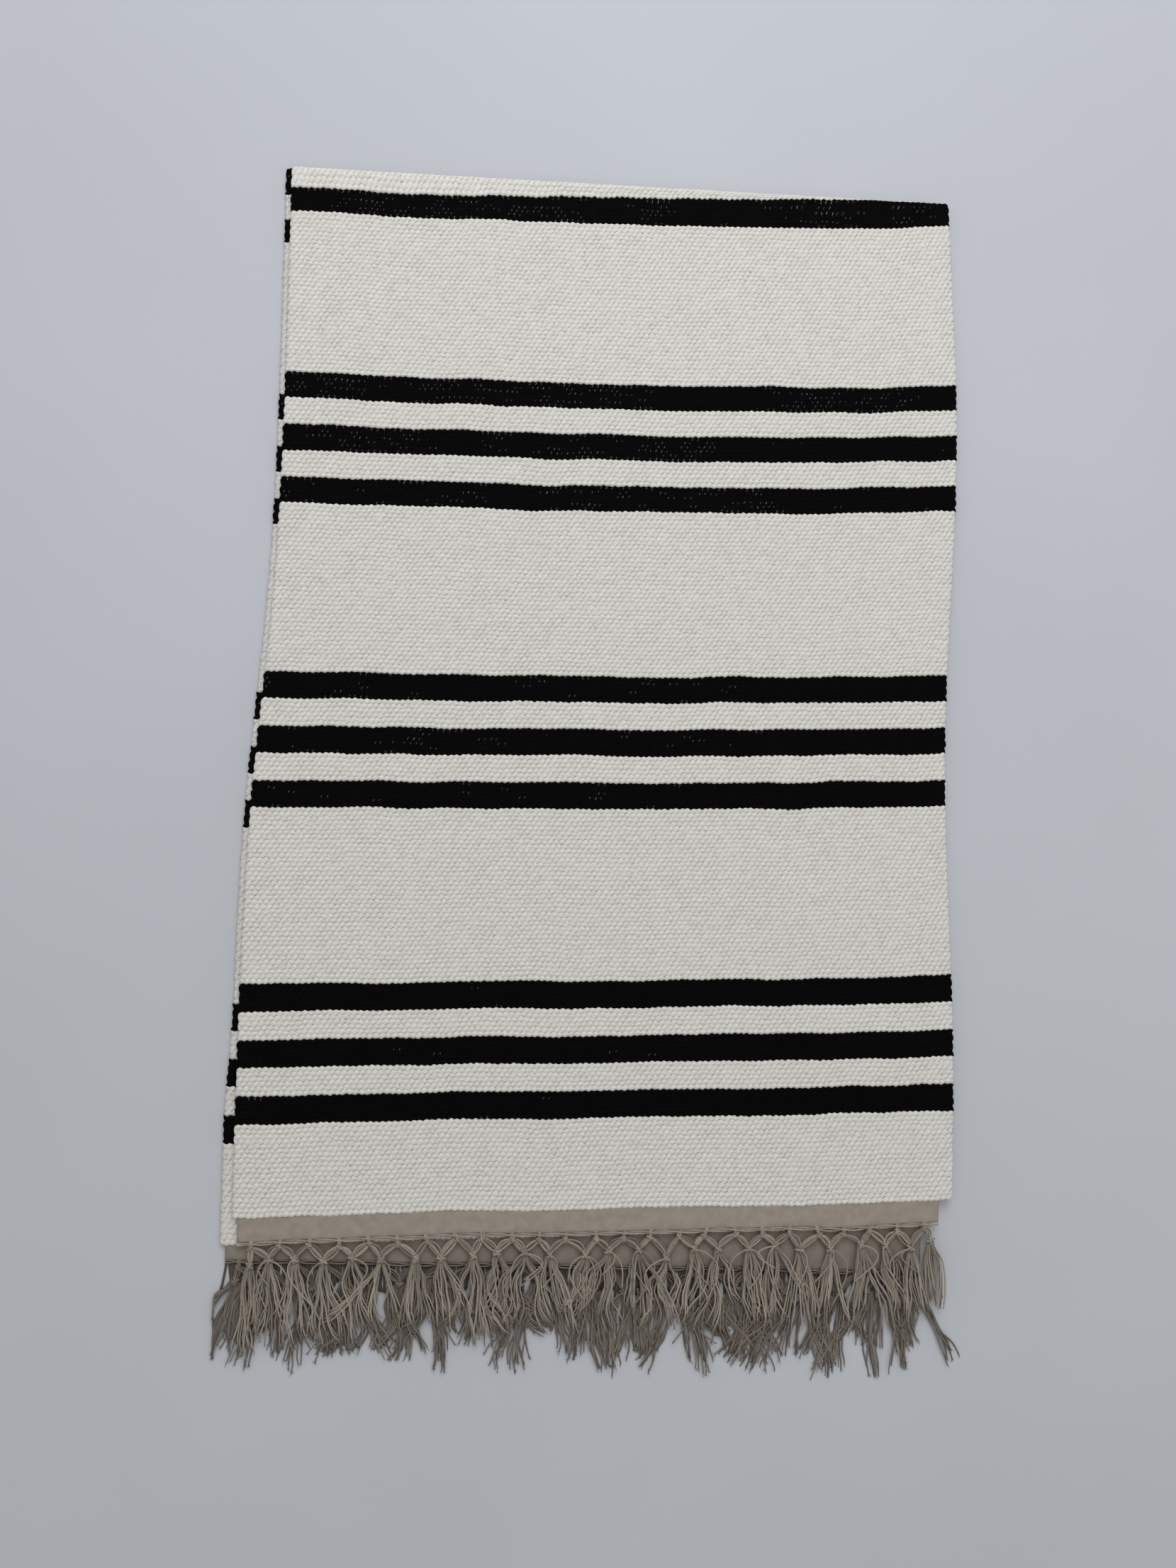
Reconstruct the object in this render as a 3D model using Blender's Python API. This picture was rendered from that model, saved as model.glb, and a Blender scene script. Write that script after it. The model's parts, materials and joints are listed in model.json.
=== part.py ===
"""A flat-woven cotton runner rug, folded once across its middle and laid flat.

The rug is one strip of cloth in two leaves. The lower leaf lies on the floor, and the upper leaf lies on it.
The cloth turns over at the fold, which is at +Y, and both fringed ends point to -Y. The leaf on top runs a
little to +X and the one below it a little to -X, so the lower edge shows along the left side.

Each leaf is built as a weaver builds it. Bands of weft yarn, black or ivory, are beaten up one against the
next round a sheet of warp threads. A fine taupe header closes the end, a twined cord locks it, and the
bundles of the fringe hang from the cord, knotted twice into a net before they run out in tassels.

Units are metres, +Z is up, and the origin is the centre of the rug's footprint, on the floor. Each leaf
hangs on an empty on the hinge line of the fold. Places along a leaf are given as a run: the distance from
that line towards the fringe.
"""

import math

import bmesh
import bpy

# The cloth
RUG_WIDTH = 0.600
CLOTH_THICKNESS = 0.0050
HEADER_THICKNESS = 0.0030
SELVEDGE_CHAMFER = 0.0012
MOST_CHAMFER_SHARE = 0.4  # of a band's thickness, so that thin bands keep an upright edge
LEAF_SKEW = 0.0045  # sideways metres for each metre along a leaf, opposite in the two leaves

# The bands of the pattern, measured along the rug
STRIPE_LENGTH = 0.0225
GAP_LENGTH = 0.0235
FIELD_LENGTH = 0.147
END_LENGTH = 0.075
HEADER_LENGTH = 0.019
GROUPS_PER_LEAF = 3

# The two bands that meet at the fold have most of their length round the bend
FOLD_GAP_FLAT = 0.0060
FOLD_STRIPE_FLAT = 0.0110
BEND_STEPS = 6

# The sheet of warp threads inside the bands
WARP_THICKNESS = 0.0010
WARP_MARGIN = 0.0040

# The twined cord along the header's edge
TWINE_WIDTH = 0.0030
TWINE_DEPTH = 0.0018
TWINE_CORNERS = 6
TWINE_STEPS_PER_KNOT = 4

# The fringe
KNOT_PITCH = 0.0240
KNOT_RADIUS = 0.0042
KNOT_HEIGHT = 0.0044
CORD_HEIGHT = 0.0030
NECK_LENGTH = 0.0030
ROW_DROP = 0.0150
TASSEL_LENGTH = 0.0600
TASSEL_MIDDLE_WIDTH = 0.0130
TASSEL_TIP_WIDTH = 0.0180
TASSEL_MIDDLE_HEIGHT = 0.0026
TASSEL_TIP_HEIGHT = 0.0018
EDGE_KNOT_INSET = 0.0062

# Gaps between pieces that touch
BAND_GAP = 0.0003
LEAF_GAP = 0.0004
RESTING_GAP = 0.0003

KNOT_SIDES = 6
KNOT_EDGE_UP = 1
KNOT_EDGES_DOWN = {"left": 3, "right": 5}
KNOT_EDGES_IN = {"left": 2, "right": 0}
KNOT_EDGE_TASSEL = 4

# Sizes that follow from the ones above
BEND_RADIUS = CLOTH_THICKNESS + LEAF_GAP / 2
HINGE_HEIGHT = CLOTH_THICKNESS + LEAF_GAP / 2
GROUP_LENGTH = 3 * STRIPE_LENGTH + 2 * GAP_LENGTH
LEAF_REST = (
    STRIPE_LENGTH + GROUPS_PER_LEAF * (FIELD_LENGTH + GROUP_LENGTH) + END_LENGTH + HEADER_LENGTH
)
UPPER_LENGTH = FOLD_GAP_FLAT + LEAF_REST
LOWER_LENGTH = FOLD_STRIPE_FLAT + GAP_LENGTH + LEAF_REST
OVERRUN = LOWER_LENGTH - UPPER_LENGTH
TWINE_DROP = BAND_GAP / 2 + TWINE_WIDTH / 2
NECK_TOP = TWINE_DROP + TWINE_WIDTH / 2 + BAND_GAP
FIRST_ROW = NECK_TOP + NECK_LENGTH + KNOT_RADIUS
SECOND_ROW = FIRST_ROW + ROW_DROP
FRINGE_LENGTH = SECOND_ROW + TASSEL_LENGTH
TASSEL_BEND = SECOND_ROW + KNOT_RADIUS + OVERRUN
KNOTS = round(RUG_WIDTH / KNOT_PITCH)
PITCH = RUG_WIDTH / KNOTS
HINGE_Y = (LOWER_LENGTH + FRINGE_LENGTH - BEND_RADIUS) / 2
CENTRE_X = LEAF_SKEW * OVERRUN / 2

LOWER_REST = (RESTING_GAP + KNOT_HEIGHT / 2, RESTING_GAP + TASSEL_TIP_HEIGHT / 2)

LEAVES = {
    "lower": {"skew": -LEAF_SKEW, "middle": CLOTH_THICKNESS / 2, "length": LOWER_LENGTH},
    "upper": {
        "skew": LEAF_SKEW,
        "middle": CLOTH_THICKNESS * 1.5 + LEAF_GAP,
        "length": UPPER_LENGTH,
    },
}

YARNS = {
    "ivory_cotton": (0.72, 0.69, 0.62, 1.0),
    "black_cotton": (0.012, 0.012, 0.013, 1.0),
    "taupe_cotton": (0.24, 0.20, 0.16, 1.0),
    "warp_cotton": (0.66, 0.64, 0.58, 1.0),
    "fringe_cotton": (0.20, 0.17, 0.13, 1.0),
}


def clear_scene():
    """Removes whatever the scene holds."""
    for thing in list(bpy.data.objects):
        bpy.data.objects.remove(thing, do_unlink=True)


def yarn_material(name, colour):
    """A dull, rough cotton of one colour."""
    material = bpy.data.materials.new(name)
    material.use_nodes = True
    shader = material.node_tree.nodes["Principled BSDF"]
    shader.inputs["Base Color"].default_value = colour
    shader.inputs["Roughness"].default_value = 0.9
    shader.inputs["Metallic"].default_value = 0.0
    return material


def hinge_empty(leaf):
    """The empty that carries a leaf, in the middle of the fold's hinge line."""
    empty = bpy.data.objects.new(f"{leaf}_leaf", None)
    empty.location = (CENTRE_X, HINGE_Y, HINGE_HEIGHT)
    bpy.context.collection.objects.link(empty)
    return empty


def place(leaf, x, run, z):
    """Turns a place on a leaf, with z above the floor, into one from its empty. A leaf leans sideways."""
    return (x + LEAVES[leaf]["skew"] * run, -run, z - HINGE_HEIGHT)


def add_piece(leaf, name, material, vertices, faces):
    """Makes one closed solid of a leaf from its vertices and faces, with the faces turned outwards."""
    mesh = bpy.data.meshes.new(name)
    mesh.from_pydata(vertices, [], faces)
    shape = bmesh.new()
    shape.from_mesh(mesh)
    bmesh.ops.recalc_face_normals(shape, faces=shape.faces)
    shape.to_mesh(mesh)
    shape.free()
    mesh.materials.append(material)
    piece = bpy.data.objects.new(name, mesh)
    piece.parent = bpy.data.objects[f"{leaf}_leaf"]
    bpy.context.collection.objects.link(piece)


def prism(sections):
    """Faces of a solid whose sections, all with as many corners, follow each other.

    Returns the vertices, section by section, and the faces: quads from one section to the next and a cap on
    each end.
    """
    corners = len(sections[0])
    vertices = [point for section in sections for point in section]
    faces = []
    for i in range(len(sections) - 1):
        for j in range(corners):
            k = (j + 1) % corners
            near, far = i * corners, (i + 1) * corners
            faces.append((near + j, near + k, far + k, far + j))
    last = (len(sections) - 1) * corners
    faces.append(tuple(reversed(range(corners))))
    faces.append(tuple(range(last, last + corners)))
    return vertices, faces


def sleeve(leaf, name, material, run_from, run_to, thickness):
    """A band of weft: a flat sleeve round the warp sheet, with chamfered selvedges and a slot through it."""
    middle = LEAVES[leaf]["middle"]
    half_width = RUG_WIDTH / 2
    half_height = thickness / 2
    chamfer = min(SELVEDGE_CHAMFER, thickness * MOST_CHAMFER_SHARE)
    slot_x = half_width - WARP_MARGIN + BAND_GAP
    slot_z = WARP_THICKNESS / 2 + BAND_GAP
    # The outer outline has eight corners and the slot has four, two of the outer ones to each.
    outer = [
        (half_width, half_height - chamfer),
        (half_width - chamfer, half_height),
        (-half_width + chamfer, half_height),
        (-half_width, half_height - chamfer),
        (-half_width, -half_height + chamfer),
        (-half_width + chamfer, -half_height),
        (half_width - chamfer, -half_height),
        (half_width, -half_height + chamfer),
    ]
    inner = [(slot_x, slot_z), (-slot_x, slot_z), (-slot_x, -slot_z), (slot_x, -slot_z)]
    vertices = []
    faces = []
    for run in (run_from + BAND_GAP / 2, run_to - BAND_GAP / 2):
        vertices += [place(leaf, x, run, middle + z) for x, z in outer + inner]
    far = len(outer) + len(inner)
    for i in range(8):
        j = (i + 1) % 8
        faces.append((i, j, far + j, far + i))
    for i in range(4):
        j = (i + 1) % 4
        faces.append((8 + i, 8 + j, far + 8 + j, far + 8 + i))
    for end in (0, far):
        for i in range(4):
            chamfer_from, chamfer_to = 2 * i, 2 * i + 1
            side_to = (2 * i + 2) % 8
            slot_corner, next_corner = 8 + i, 8 + (i + 1) % 4
            faces.append((end + chamfer_from, end + chamfer_to, end + slot_corner))
            faces.append((end + chamfer_to, end + side_to, end + next_corner, end + slot_corner))
    add_piece(leaf, f"{leaf}_{name}", material, vertices, faces)


def pattern(leaf):
    """The bands of a leaf from the fold to the fringe, each as (name, yarn, length)."""
    if leaf == "lower":
        bands = [
            ("middle_stripe", "black_cotton", FOLD_STRIPE_FLAT),
            ("gap_4a", "ivory_cotton", GAP_LENGTH),
            ("stripe_4a", "black_cotton", STRIPE_LENGTH),
        ]
    else:
        bands = [
            ("gap_4a", "ivory_cotton", FOLD_GAP_FLAT),
            ("stripe_4a", "black_cotton", STRIPE_LENGTH),
        ]
    for group in range(GROUPS_PER_LEAF, 0, -1):
        bands += [
            (f"field_{group}", "ivory_cotton", FIELD_LENGTH),
            (f"stripe_{group}c", "black_cotton", STRIPE_LENGTH),
            (f"gap_{group}b", "ivory_cotton", GAP_LENGTH),
            (f"stripe_{group}b", "black_cotton", STRIPE_LENGTH),
            (f"gap_{group}a", "ivory_cotton", GAP_LENGTH),
            (f"stripe_{group}a", "black_cotton", STRIPE_LENGTH),
        ]
    return bands + [("ivory_end", "ivory_cotton", END_LENGTH)]


def weave_leaf(leaf, yarns):
    """All the bands of one leaf, its header, and the warp sheet that they enclose."""
    run = 0.0
    for name, yarn, length in pattern(leaf):
        sleeve(leaf, name, yarns[yarn], run, run + length, CLOTH_THICKNESS)
        run += length
    sleeve(leaf, "header", yarns["taupe_cotton"], run, run + HEADER_LENGTH, HEADER_THICKNESS)
    warp_sheet(leaf, yarns["warp_cotton"])


def warp_sheet(leaf, material):
    """The warp threads of a leaf, side by side as one thin sheet, from the fold to the end of the header."""
    middle = LEAVES[leaf]["middle"]
    half_width = RUG_WIDTH / 2 - WARP_MARGIN
    half_height = WARP_THICKNESS / 2
    outline = [(1, 1), (-1, 1), (-1, -1), (1, -1)]
    sections = []
    for run in (BAND_GAP / 2, LEAVES[leaf]["length"] - BAND_GAP / 2):
        sections.append(
            [place(leaf, x * half_width, run, middle + z * half_height) for x, z in outline]
        )
    add_piece(leaf, f"{leaf}_warp_sheet", material, *prism(sections))


def fold_bend(leaf, name, material, upwards):
    """A quarter of the round bend at the fold, from the flat part of one leaf to the fold's outermost line.

    The outline, in a plane across the fold, is an arc at the cloth's outer face and an arc at its inner one.
    """
    inner = LEAF_GAP / 2
    outer = BEND_RADIUS - BAND_GAP / 2
    outline = []
    for radius, steps in ((outer, range(BEND_STEPS + 1)), (inner, range(BEND_STEPS, -1, -2))):
        for step in steps:
            angle = math.pi / 2 * step / BEND_STEPS
            outline.append((radius * math.cos(angle), radius * math.sin(angle)))
    sections = []
    for x in (-RUG_WIDTH / 2, RUG_WIDTH / 2):
        section = []
        for out, up in outline:
            run = -(BAND_GAP / 2 + out)
            z = HINGE_HEIGHT + upwards * (BAND_GAP / 2 + up)
            section.append(place(leaf, x, run, z))
        sections.append(section)
    add_piece(leaf, name, material, *prism(sections))


def twined_edge(leaf, material):
    """Two strands twisted round each other along the header's end, as one cord of a flat, turning section.

    It makes half a turn from each knot of the fringe to the next, and lies flat where a bundle leaves it.
    """
    run = LEAVES[leaf]["length"] + TWINE_DROP
    stations = KNOTS * TWINE_STEPS_PER_KNOT
    sections = []
    for station in range(stations + 1):
        x = RUG_WIDTH * (station / stations - 0.5)
        turn = math.pi * (station / TWINE_STEPS_PER_KNOT - 0.5)
        section = []
        for corner in range(TWINE_CORNERS):
            angle = 2 * math.pi * corner / TWINE_CORNERS
            wide = TWINE_WIDTH / 2 * math.cos(angle)
            deep = TWINE_DEPTH / 2 * math.sin(angle)
            along = wide * math.cos(turn) - deep * math.sin(turn)
            up = wide * math.sin(turn) + deep * math.cos(turn)
            section.append(place(leaf, x, run + along, LEAVES[leaf]["middle"] + up))
        sections.append(section)
    add_piece(leaf, f"{leaf}_twined_edge", material, *prism(sections))


def sinking(level, tip, drop):
    """A height that is level down to where the tassels bend, and then changes evenly to their tips."""
    share = min(max((drop - TASSEL_BEND) / (FRINGE_LENGTH - TASSEL_BEND), 0.0), 1.0)
    return level + (tip - level) * share


def upper_rest():
    """Heights of the upper fringe over the knots and at the tips.

    It lies on the lower leaf and on the knots of the lower fringe, and its tips lie on the lower tassels.
    """
    support = max(CLOTH_THICKNESS, RESTING_GAP + KNOT_HEIGHT)
    tassels_below = sinking(*LOWER_REST, FRINGE_LENGTH - OVERRUN)
    tip_clearance = (TASSEL_MIDDLE_HEIGHT + TASSEL_TIP_HEIGHT) / 2 + RESTING_GAP
    return support + RESTING_GAP + KNOT_HEIGHT / 2, tassels_below + tip_clearance


class Fringe:
    """The knotted fringe of one leaf, built up as one net of vertices and faces.

    Places in it are (x, drop, z), where drop is the distance beyond the end of the leaf's header. A knot is a
    six-sided bead, higher in the middle. A cord or a tassel starts from two neighbouring corners of a knot,
    on its upper and its lower rim.
    """

    def __init__(self, leaf):
        self.leaf = leaf
        self.vertices = []
        self.faces = []

    def height(self, drop):
        """Height of the middle of the fringe above the floor: level over the knots, then down to the tips."""
        level, tip = upper_rest() if self.leaf == "upper" else LOWER_REST
        return sinking(level, tip, drop)

    def vertex(self, x, drop, z):
        """Adds one vertex and returns its number."""
        run = LEAVES[self.leaf]["length"] + drop
        self.vertices.append(place(self.leaf, x, run, z))
        return len(self.vertices) - 1

    def knot(self, x, drop, joined):
        """Adds a knot, and closes those of its six sides that nothing is joined to. Returns its rims."""
        z = self.height(drop)
        rims = []
        for up in (1, -1):
            rim = []
            for corner in range(KNOT_SIDES):
                angle = 2 * math.pi * corner / KNOT_SIDES
                across = x + KNOT_RADIUS * math.cos(angle)
                along = drop - KNOT_RADIUS * math.sin(angle)
                rim.append(self.vertex(across, along, z + up * CORD_HEIGHT / 2))
            crown = self.vertex(x, drop, z + up * KNOT_HEIGHT / 2)
            for corner in range(KNOT_SIDES):
                self.faces.append((crown, rim[corner], rim[(corner + 1) % KNOT_SIDES]))
            rims.append(rim)
        upper, lower = rims
        for side in range(KNOT_SIDES):
            if side not in joined:
                after = (side + 1) % KNOT_SIDES
                self.faces.append((upper[side], upper[after], lower[after], lower[side]))
        return rims

    def mouth(self, rims, side):
        """The four corners of one side of a knot, from which a cord starts, in order round it."""
        upper, lower = rims
        after = (side + 1) % KNOT_SIDES
        return [upper[side], upper[after], lower[after], lower[side]]

    def bridge(self, first, second):
        """Joins two loops of four corners with four faces."""
        for i in range(4):
            j = (i + 1) % 4
            self.faces.append((first[i], first[j], second[j], second[i]))

    def loop(self, x, drop, width, height):
        """Four new corners, in the order that a mouth has when it faces down the fringe."""
        z = self.height(drop)
        sides = [(-1, 1), (1, 1), (1, -1), (-1, -1)]
        return [self.vertex(x + s * width / 2, drop, z + u * height / 2) for s, u in sides]

    def tassel(self, x, rims, fullness):
        """The loose ends below a knot: a flat bundle that spreads towards its tip.

        Its width is in proportion to its fullness, the share of a whole bundle that it holds.
        """
        neck = self.mouth(rims, KNOT_EDGE_TASSEL)
        middle = self.loop(x, TASSEL_BEND, TASSEL_MIDDLE_WIDTH * fullness, TASSEL_MIDDLE_HEIGHT)
        tip = self.loop(x, FRINGE_LENGTH, TASSEL_TIP_WIDTH * fullness, TASSEL_TIP_HEIGHT)
        self.bridge(neck, middle)
        self.bridge(middle, tip)
        self.faces.append(tuple(tip))

    def neck(self, x, rims):
        """The bundle between the twined cord and a knot of the first row."""
        top = self.loop(x, NECK_TOP, KNOT_RADIUS, CORD_HEIGHT)
        below = self.mouth(rims, KNOT_EDGE_UP)
        self.bridge([top[1], top[0], top[3], top[2]], below)
        self.faces.append(tuple(top))

    def build(self, material):
        """Two rows of knots, the half bundles between them, and the tassels of the second row."""
        first_row = []
        for i in range(KNOTS):
            x = PITCH * (i + 0.5) - RUG_WIDTH / 2
            joined = {KNOT_EDGE_UP, *KNOT_EDGES_DOWN.values()}
            rims = self.knot(x, FIRST_ROW, joined)
            self.neck(x, rims)
            first_row.append(rims)
        for i in range(KNOTS + 1):
            x = PITCH * i - RUG_WIDTH / 2
            limit = RUG_WIDTH / 2 - EDGE_KNOT_INSET
            x = min(max(x, -limit), limit)
            sides = [side for side, near in (("left", i - 1), ("right", i)) if 0 <= near < KNOTS]
            joined = {KNOT_EDGE_TASSEL, *(KNOT_EDGES_IN[side] for side in sides)}
            rims = self.knot(x, SECOND_ROW, joined)
            for side in sides:
                above = first_row[i - 1] if side == "left" else first_row[i]
                leaving = "right" if side == "left" else "left"
                start = self.mouth(above, KNOT_EDGES_DOWN[leaving])
                end = self.mouth(rims, KNOT_EDGES_IN[side])
                self.bridge(start, [end[1], end[0], end[3], end[2]])
            self.tassel(x, rims, len(sides) / 2)
        add_piece(self.leaf, f"{self.leaf}_fringe", material, self.vertices, self.faces)


def main():
    clear_scene()
    yarns = {name: yarn_material(name, colour) for name, colour in YARNS.items()}
    for leaf in LEAVES:
        hinge_empty(leaf)
        weave_leaf(leaf, yarns)
        twined_edge(leaf, yarns["fringe_cotton"])
        Fringe(leaf).build(yarns["fringe_cotton"])
    fold_bend("upper", "fold_bend_ivory", yarns["ivory_cotton"], upwards=1)
    fold_bend("lower", "fold_bend_black", yarns["black_cotton"], upwards=-1)


main()
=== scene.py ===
"""A striped cotton runner rug, folded once in half, with a plain header and a knotted fringe at each end.

Each leaf of the folded rug is made of woven bands in the order in which a weaver beats them up. A band is one
closed sheet whose two faces carry the weave's own relief. The fringes are made strand by strand.
"""

import json
import logging
import math
from dataclasses import dataclass, field
from enum import Enum

import bpy
import numpy as np
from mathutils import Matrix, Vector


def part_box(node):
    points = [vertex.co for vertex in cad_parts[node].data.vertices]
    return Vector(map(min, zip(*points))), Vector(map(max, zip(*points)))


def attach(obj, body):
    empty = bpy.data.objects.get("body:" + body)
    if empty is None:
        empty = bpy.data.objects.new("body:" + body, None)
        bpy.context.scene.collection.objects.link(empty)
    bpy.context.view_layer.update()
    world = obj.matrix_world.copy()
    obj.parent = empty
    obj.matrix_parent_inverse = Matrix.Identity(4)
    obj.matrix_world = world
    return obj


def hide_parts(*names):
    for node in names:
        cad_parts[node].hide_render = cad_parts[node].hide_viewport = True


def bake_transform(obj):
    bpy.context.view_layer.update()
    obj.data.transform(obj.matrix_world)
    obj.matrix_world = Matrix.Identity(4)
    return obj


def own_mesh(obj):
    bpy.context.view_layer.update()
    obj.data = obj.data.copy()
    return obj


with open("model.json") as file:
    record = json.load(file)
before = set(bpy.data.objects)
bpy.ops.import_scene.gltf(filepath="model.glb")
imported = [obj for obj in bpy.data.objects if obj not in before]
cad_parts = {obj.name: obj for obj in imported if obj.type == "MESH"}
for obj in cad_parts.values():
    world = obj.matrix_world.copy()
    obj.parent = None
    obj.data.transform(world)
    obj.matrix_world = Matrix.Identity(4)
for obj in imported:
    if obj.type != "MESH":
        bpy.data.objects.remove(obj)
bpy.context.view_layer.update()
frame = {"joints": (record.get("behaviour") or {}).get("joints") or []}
LOG = logging.getLogger("runner_rug")
Array = np.ndarray
SEED = 4021
UP = np.array([0.0, 0.0, 1.0])
CLOTH_WIDTH = 0.600
CLOTH_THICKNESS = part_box("upper_field_2")[1].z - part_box("upper_field_2")[0].z
HEADER_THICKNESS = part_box("upper_header")[1].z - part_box("upper_header")[0].z
GROUPS_FROM_FOLD = (3, 2, 1)
GROUP_ORDER = (("stripe", "c"), ("gap", "b"), ("stripe", "b"), ("gap", "a"), ("stripe", "a"))


class Leaf(Enum):
    """The two halves of the folded rug."""

    LOWER = "lower"
    UPPER = "upper"


class Yarn(Enum):
    """The yarns, by the name of the material slot that each takes its finish from."""

    IVORY = "ivory_cotton"
    BLACK = "black_cotton"
    TAUPE = "taupe_cotton"
    WARP = "warp_cotton"
    FRINGE = "fringe_cotton"


# ---------------------------------------------------------------- small formulas


def smoothstep(share: Array) -> Array:
    """Eases from 0 to 1: three squares less two cubes of the share, held inside 0 and 1."""
    held = np.clip(share, 0.0, 1.0)
    return held * held * (3.0 - 2.0 * held)


def ripple(a: Array, b: Array, seed: int, waves: int = 5) -> Array:
    """A smooth random surface from about -1 to 1.

    It is a sum of sine waves in random directions over the plane of a and b, over the root of their number.

    Args:
        a: first coordinate, in the waves' own unit.
        b: second coordinate, of a shape that broadcasts with a.
        seed: picks the waves.
        waves: how many waves are added.

    Returns:
        One value for each point.
    """
    pick = np.random.default_rng(SEED + seed)
    total = np.zeros(np.broadcast(a, b).shape)
    for turn, pace, phase in zip(
        pick.uniform(0, math.pi, waves), pick.uniform(0.6, 1.6, waves), pick.uniform(0, 2 * math.pi, waves)
    ):
        total += np.sin(2 * math.pi * pace * (a * math.cos(turn) + b * math.sin(turn)) + phase)
    return total / math.sqrt(waves)


def cell_noise(a: Array, b: Array, seed: int) -> Array:
    """One random number from 0 to 1 for each whole cell: the fraction left of a large multiple of a sine."""
    mixed = np.sin(np.floor(a) * 12.9898 + np.floor(b) * 78.233 + seed * 3.717) * 43758.5453
    return mixed - np.floor(mixed)


# ---------------------------------------------------------------- meshes


def outward(points: Array, polygons: list[Array]) -> list[Array]:
    """Turns every face of a closed mesh round if the mesh is inside out.

    Its volume is the sum, over the triangles of each face's fan, of a corner's product with the other two's
    cross product.

    Args:
        points: the vertices, n by 3.
        polygons: arrays of faces, each array with as many columns as its faces have corners.

    Returns:
        The faces, in an order that faces outwards.
    """
    volume = 0.0
    for faces in polygons:
        for corner in range(1, faces.shape[1] - 1):
            a, b, c = points[faces[:, 0]], points[faces[:, corner]], points[faces[:, corner + 1]]
            volume += float((a * np.cross(b, c)).sum())
    return [faces[:, ::-1] for faces in polygons] if volume < 0 else polygons


def make_piece(
    name: str,
    points: Array,
    polygons: list[Array],
    uv: Array,
    material: bpy.types.Material,
    shade: Array | None = None,
) -> bpy.types.Object:
    """Puts whole arrays into one smooth-shaded mesh object at the origin.

    Args:
        name: the piece's name.
        points: the vertices, n by 3, in metres.
        polygons: arrays of faces, one array for each number of corners.
        uv: a pair for each vertex, for patterns that follow the surface.
        material: the finish.
        shade: one number for each vertex, which the finish reads as "Shade".

    Returns:
        The new object.
    """
    mesh = bpy.data.meshes.new(name)
    loops = np.concatenate([faces.ravel() for faces in polygons]).astype(np.int32)
    sizes = np.concatenate([np.full(len(faces), faces.shape[1]) for faces in polygons])
    starts = np.concatenate([[0], np.cumsum(sizes)[:-1]]).astype(np.int32)
    mesh.vertices.add(len(points))
    mesh.vertices.foreach_set("co", points.astype(np.float32).ravel())
    mesh.loops.add(len(loops))
    mesh.loops.foreach_set("vertex_index", loops)
    mesh.polygons.add(len(sizes))
    mesh.polygons.foreach_set("loop_start", starts)
    mesh.update(calc_edges=True)
    mesh.shade_smooth()
    layer = mesh.uv_layers.new(name="Cloth")
    layer.data.foreach_set("uv", uv[loops].astype(np.float32).ravel())
    if shade is not None:
        attribute = mesh.attributes.new("Shade", "FLOAT", "POINT")
        attribute.data.foreach_set("value", shade.astype(np.float32))
    mesh.materials.append(material)
    piece = bpy.data.objects.new(name, mesh)
    bpy.context.scene.collection.objects.link(piece)
    LOG.info("%s: %d faces", name, len(sizes))
    return piece


def sheet_faces(rows: int, columns: int, back_columns: int) -> list[Array]:
    """Faces of a closed sheet: a front grid, a back grid with as many rows but fewer columns, and four walls.

    The end walls have one face for each back column, which takes in every front point beside it.

    Args:
        rows: rows of points in both grids.
        columns: columns of points in the front grid.
        back_columns: columns of points in the back grid, so that one less divides one less of columns.

    Returns:
        Arrays of faces. The front grid's points come first, row by row, and then the back grid's.
    """
    front = np.arange(rows * columns).reshape(rows, columns)
    back = rows * columns + np.arange(rows * back_columns).reshape(rows, back_columns)
    step = (columns - 1) // (back_columns - 1)

    def grid(index: Array) -> Array:
        """Quads of a grid of points."""
        corners = [index[:-1, :-1], index[:-1, 1:], index[1:, 1:], index[1:, :-1]]
        return np.stack(corners, -1).reshape(-1, 4)

    def end(row: int) -> Array:
        """The wall along one end row."""
        along = [front[row, j:-1:step] for j in range(step)]
        return np.stack([*along, front[row, step::step], back[row, 1:], back[row, :-1]], -1)

    def side(column: int) -> Array:
        """The wall along one selvedge."""
        return np.stack([front[:-1, column], front[1:, column], back[1:, column], back[:-1, column]], -1)

    return [grid(front), grid(back)[:, ::-1], end(0)[:, ::-1], end(-1), side(0), side(-1)[:, ::-1]]


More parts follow.
